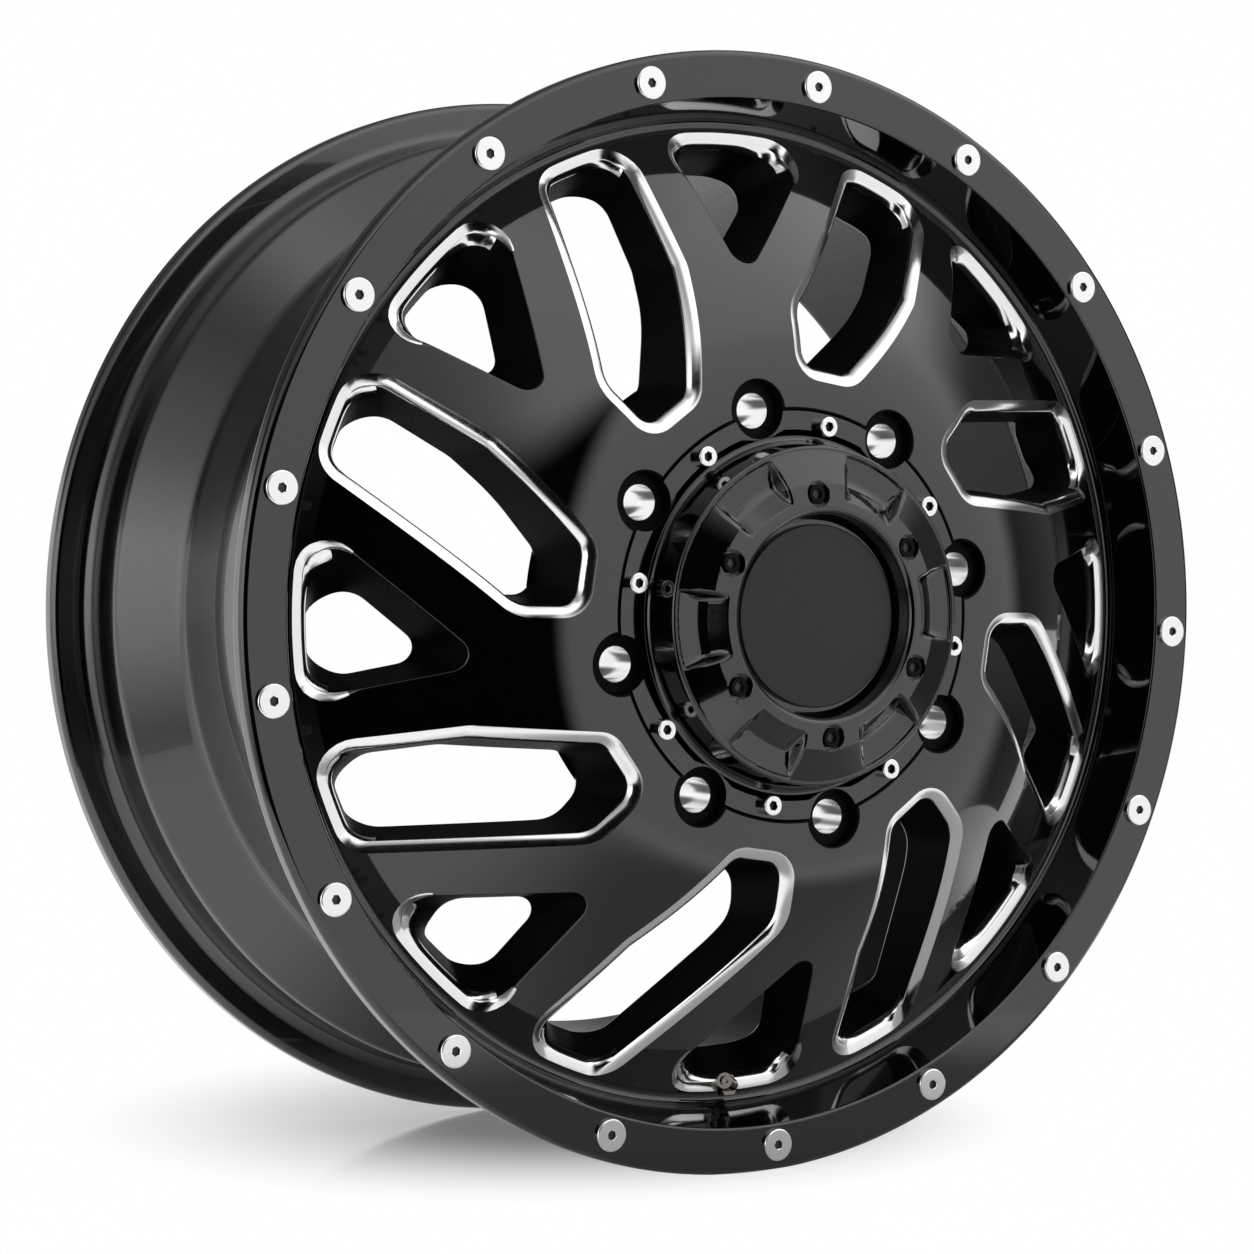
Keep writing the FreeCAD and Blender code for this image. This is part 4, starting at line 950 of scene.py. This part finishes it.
make_wheel([lacquer, milled, bored, shade_lacquer, enamel, shade_enamel])
make_cap(lacquer)
make_plate(powder)
make_fasteners("lip_bolt_heads", [steel, socket], "lip_bolts", "polished_steel", seat=-LIP_AHEAD,
               place=(261.0, 7.84, 17), head=(8.0, 2.2, 0.8), key=(4.0, 1.4), shank=(4.0, 9.0))
make_fasteners("cap_bolt_heads", [oxide, socket], "cap_bolts", "black_steel", seat=HUB_FACE - POCKET_FLOOR,
               place=(CAP_BOLT_CIRCLE_R, math.degrees(CAP_CLOCK), NOTCH_COUNT), head=(4.6, 3.2, 0.5),
               key=(4.6, 2.0), shank=(2.5, 8.0))
make_fasteners("cap_screw_heads", [steel, socket], "cap_screws", "polished_steel", seat=HUB_FACE,
               place=(91.7, 10.0, 8), head=(4.9, 4.6, 0.6), key=(4.0, 2.6), shank=(3.0, 16.0))
for name in ("valve_stem", "valve_nut", "valve_core"):
    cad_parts[name].data.materials[0] = nickel
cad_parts["valve_seal"].data.materials[0] = rubber

# Floor, light and camera

FLOOR_Z = -FLANGE_R * MM
FLOOR_FRONT = 0.62


def stage_piece(name, points, faces, material, seen=True):
    """A piece of the stage; one that isn't seen only shades and reflects."""
    mesh = bpy.data.meshes.new(name)
    mesh.from_pydata(points, [], faces)
    mesh.materials.append(material)
    thing = bpy.data.objects.new(name, mesh)
    bpy.context.scene.collection.objects.link(thing)
    thing.visible_camera = seen
    return thing


def card(name, azimuths, elevations, distance, material):
    """Curved card round the wheel, over a range of azimuths and elevations from straight ahead."""
    a = np.radians(np.linspace(*azimuths, 40))[None, :] + np.zeros((24, 1))
    e = np.radians(np.linspace(*elevations, 24))[:, None] + 0 * a
    grid = distance * np.stack([np.sin(a) * np.cos(e), -np.cos(a) * np.cos(e), np.sin(e)], axis=-1)
    faces = grid_faces(24, 40, wrap_columns=False)
    return stage_piece(name, grid.reshape(-1, 3).tolist(), faces.tolist(), material, False)


def stage_mix(material, factor, first, second):
    """Sets a stage material to a mix of two shaders."""
    tree = material.node_tree
    mix = node(tree, "ShaderNodeMixShader", [(factor, 0), (first, 1), (second, 2)])
    tree.links.new(mix.outputs[0], tree.nodes["Material Output"].inputs["Surface"])


# Pale floor that reads white away from the wheel and keeps its shadow near it
pale = finish("pale_floor", "#D6D6D6", 0.0, (0.1, 0.13), 60.0, 0.0)
tree = pale.node_tree
path = node(tree, "ShaderNodeLightPath")
seen = node(tree, "ShaderNodeMath", [(path.outputs["Is Camera Ray"], 0), (path.outputs["Is Glossy Ray"], 1)],
            operation="ADD")
seen = node(tree, "ShaderNodeMath", [(seen.outputs[0], 0), (path.outputs["Is Transmission Ray"], 1)],
            operation="ADD")
place = node(tree, "ShaderNodeTexCoord")
away = node(tree, "ShaderNodeVectorMath", [(place.outputs["Object"], 0)], operation="DISTANCE")
away.inputs[1].default_value = (0.0, 0.2, FLOOR_Z)
share = node(tree, "ShaderNodeMapRange", [(away.outputs["Value"], "Value")], interpolation_type="SMOOTHSTEP",
             From_Min=0.06, From_Max=0.27, To_Min=0.15, To_Max=1.0)
lifted = node(tree, "ShaderNodeMath", [(seen.outputs[0], 0), (share.outputs["Result"], 1)],
              operation="MULTIPLY")
white = node(tree, "ShaderNodeEmission", Color=(1.0, 1.0, 1.0, 1.0), Strength=1.0)
stage_mix(pale, lifted.outputs[0], tree.nodes["Principled BSDF"].outputs[0], white.outputs[0])
turns = np.radians(np.linspace(-88, 88, 60))
edge = np.c_[FLOOR_FRONT * np.sin(turns), -FLOOR_FRONT * np.cos(turns), np.full(60, FLOOR_Z)]
corners = [(6, 0, FLOOR_Z), (6, 6, FLOOR_Z), (-6, 6, FLOOR_Z), (-6, 0, FLOOR_Z)]
stage_piece("floor", edge.tolist() + corners, [list(range(64))], pale)

# Grey paper on the floor before the wheel, fading at its edge
PAPER = (0.1, -0.12, FLOOR_Z + 0.001)
paper = finish("grey_paper", "#CECECE", 0.0, (0.9, 0.95), 60.0, 0.0, ior=1.1)
tree = paper.node_tree
away = node(tree, "ShaderNodeVectorMath", [(node(tree, "ShaderNodeTexCoord").outputs["Object"], 0)],
            operation="DISTANCE")
away.inputs[1].default_value = PAPER
faded = node(tree, "ShaderNodeMapRange", [(away.outputs["Value"], "Value")], interpolation_type="SMOOTHSTEP",
             From_Min=0.18, From_Max=0.38)
stage_mix(paper, faded.outputs["Result"], tree.nodes["Principled BSDF"].outputs[0],
          node(tree, "ShaderNodeBsdfTransparent").outputs[0])
turns = np.arange(60) * TURN / 60
disc = np.array(PAPER) + 0.4 * np.c_[np.cos(turns), np.sin(turns), np.zeros(60)]
stage_piece("grey_paper", disc.tolist(), [list(range(60))], paper, False)

# Black felt behind the camera, thinning out at its right and upper edges
felt = finish("black_felt", "#020202", 0.0, (0.9, 0.95), 60.0, 0.0, ior=1.0)
tree = felt.node_tree
parts = node(tree, "ShaderNodeSeparateXYZ", [(node(tree, "ShaderNodeTexCoord").outputs["Object"], "Vector")])
right = node(tree, "ShaderNodeMapRange", [(parts.outputs["X"], "Value")], interpolation_type="SMOOTHSTEP",
             From_Min=0.1, From_Max=0.62)
above = node(tree, "ShaderNodeMapRange", [(parts.outputs["Z"], "Value")], interpolation_type="SMOOTHSTEP",
             From_Min=0.9, From_Max=1.55)
thin = node(tree, "ShaderNodeMath", [(right.outputs["Result"], 0), (above.outputs["Result"], 1)],
            operation="MAXIMUM")
clear = node(tree, "ShaderNodeBsdfTransparent")
stage_mix(felt, thin.outputs[0], tree.nodes["Principled BSDF"].outputs[0], clear.outputs[0])
card("dark_card", (-54.0, 16.0), (-23.0, 38.0), 2.6, felt)

world = bpy.data.worlds.new("studio")
bpy.context.scene.world = world
world.use_nodes = True
sky = world.node_tree
RIGHT_SKY = 0.12
# Levels of the sky by elevation in degrees: ahead of the wheel, at its left and behind it
FRONT_SKY = ((-90, 0.85), (-22, 0.95), (-10, 0.88), (0, 0.9), (10, 1.0), (20, 1.1), (30, 1.3), (60, 1.35),
             (85, 0.5))
LEFT_SKY = ((-90, 0.4), (-20, 0.5), (-5, 1.5), (10, 1.8), (25, 0.8), (45, 0.35))
BACK_SKY = ((-90, 0.85), (-20, 1.0), (10, 1.0), (13, 0.4), (19, 0.08), (60, 0.15))
toward = node(sky, "ShaderNodeTexCoord")
parts = node(sky, "ShaderNodeSeparateXYZ", [(toward.outputs["Generated"], "Vector")])
height = node(sky, "ShaderNodeMapRange", [(parts.outputs["Z"], "Value")], From_Min=-1.0, From_Max=1.0)
ramps = []
for levels in (FRONT_SKY, LEFT_SKY, BACK_SKY):
    ramp = node(sky, "ShaderNodeValToRGB", [(height.outputs["Result"], "Fac")])
    for mark, (elevation, level) in enumerate(levels):
        spot = (math.sin(math.radians(elevation)) + 1) / 2
        stop = ramp.color_ramp.elements[mark] if mark < 2 else ramp.color_ramp.elements.new(spot)
        stop.position = spot
        stop.color = (level, level, level, 1.0)
    ramps.append(ramp)
left = node(sky, "ShaderNodeMapRange", [(parts.outputs["X"], "Value")], interpolation_type="SMOOTHSTEP",
            From_Min=-0.15, From_Max=-0.5)
behind = node(sky, "ShaderNodeMapRange", [(parts.outputs["Y"], "Value")], From_Min=-0.1, From_Max=0.4)
blend = ramps[0]
for share, ramp in ((left, ramps[1]), (behind, ramps[2])):
    blend = node(sky, "ShaderNodeMixRGB", [(share.outputs["Result"], "Fac"),
                                           (blend.outputs["Color"], "Color1"),
                                           (ramp.outputs["Color"], "Color2")])
right = node(sky, "ShaderNodeMapRange", [(parts.outputs["X"], "Value")], interpolation_type="SMOOTHSTEP",
             From_Min=0.8, From_Max=0.93, To_Min=1.0, To_Max=RIGHT_SKY)
sky.links.new(blend.outputs["Color"], sky.nodes["Background"].inputs["Color"])
sky.links.new(right.outputs["Result"], sky.nodes["Background"].inputs["Strength"])

CAMERA = np.array([-901.6, -1395.3, 31.2])
TARGET = np.array([-73.07, -10.0, -5.4])
FOCAL = 3386.0
IMAGE = 1254.0
SENSOR = 36.0
lens = bpy.data.cameras.new("camera")
lens.sensor_width = SENSOR
lens.lens = FOCAL / IMAGE * SENSOR
camera = bpy.data.objects.new("camera", lens)
bpy.context.scene.collection.objects.link(camera)
camera.location = Vector(CAMERA * MM)
camera.rotation_euler = Vector((TARGET - CAMERA) * MM).to_track_quat("-Z", "Y").to_euler()
bpy.context.scene.camera = camera
bpy.context.scene.view_settings.view_transform = "Standard"
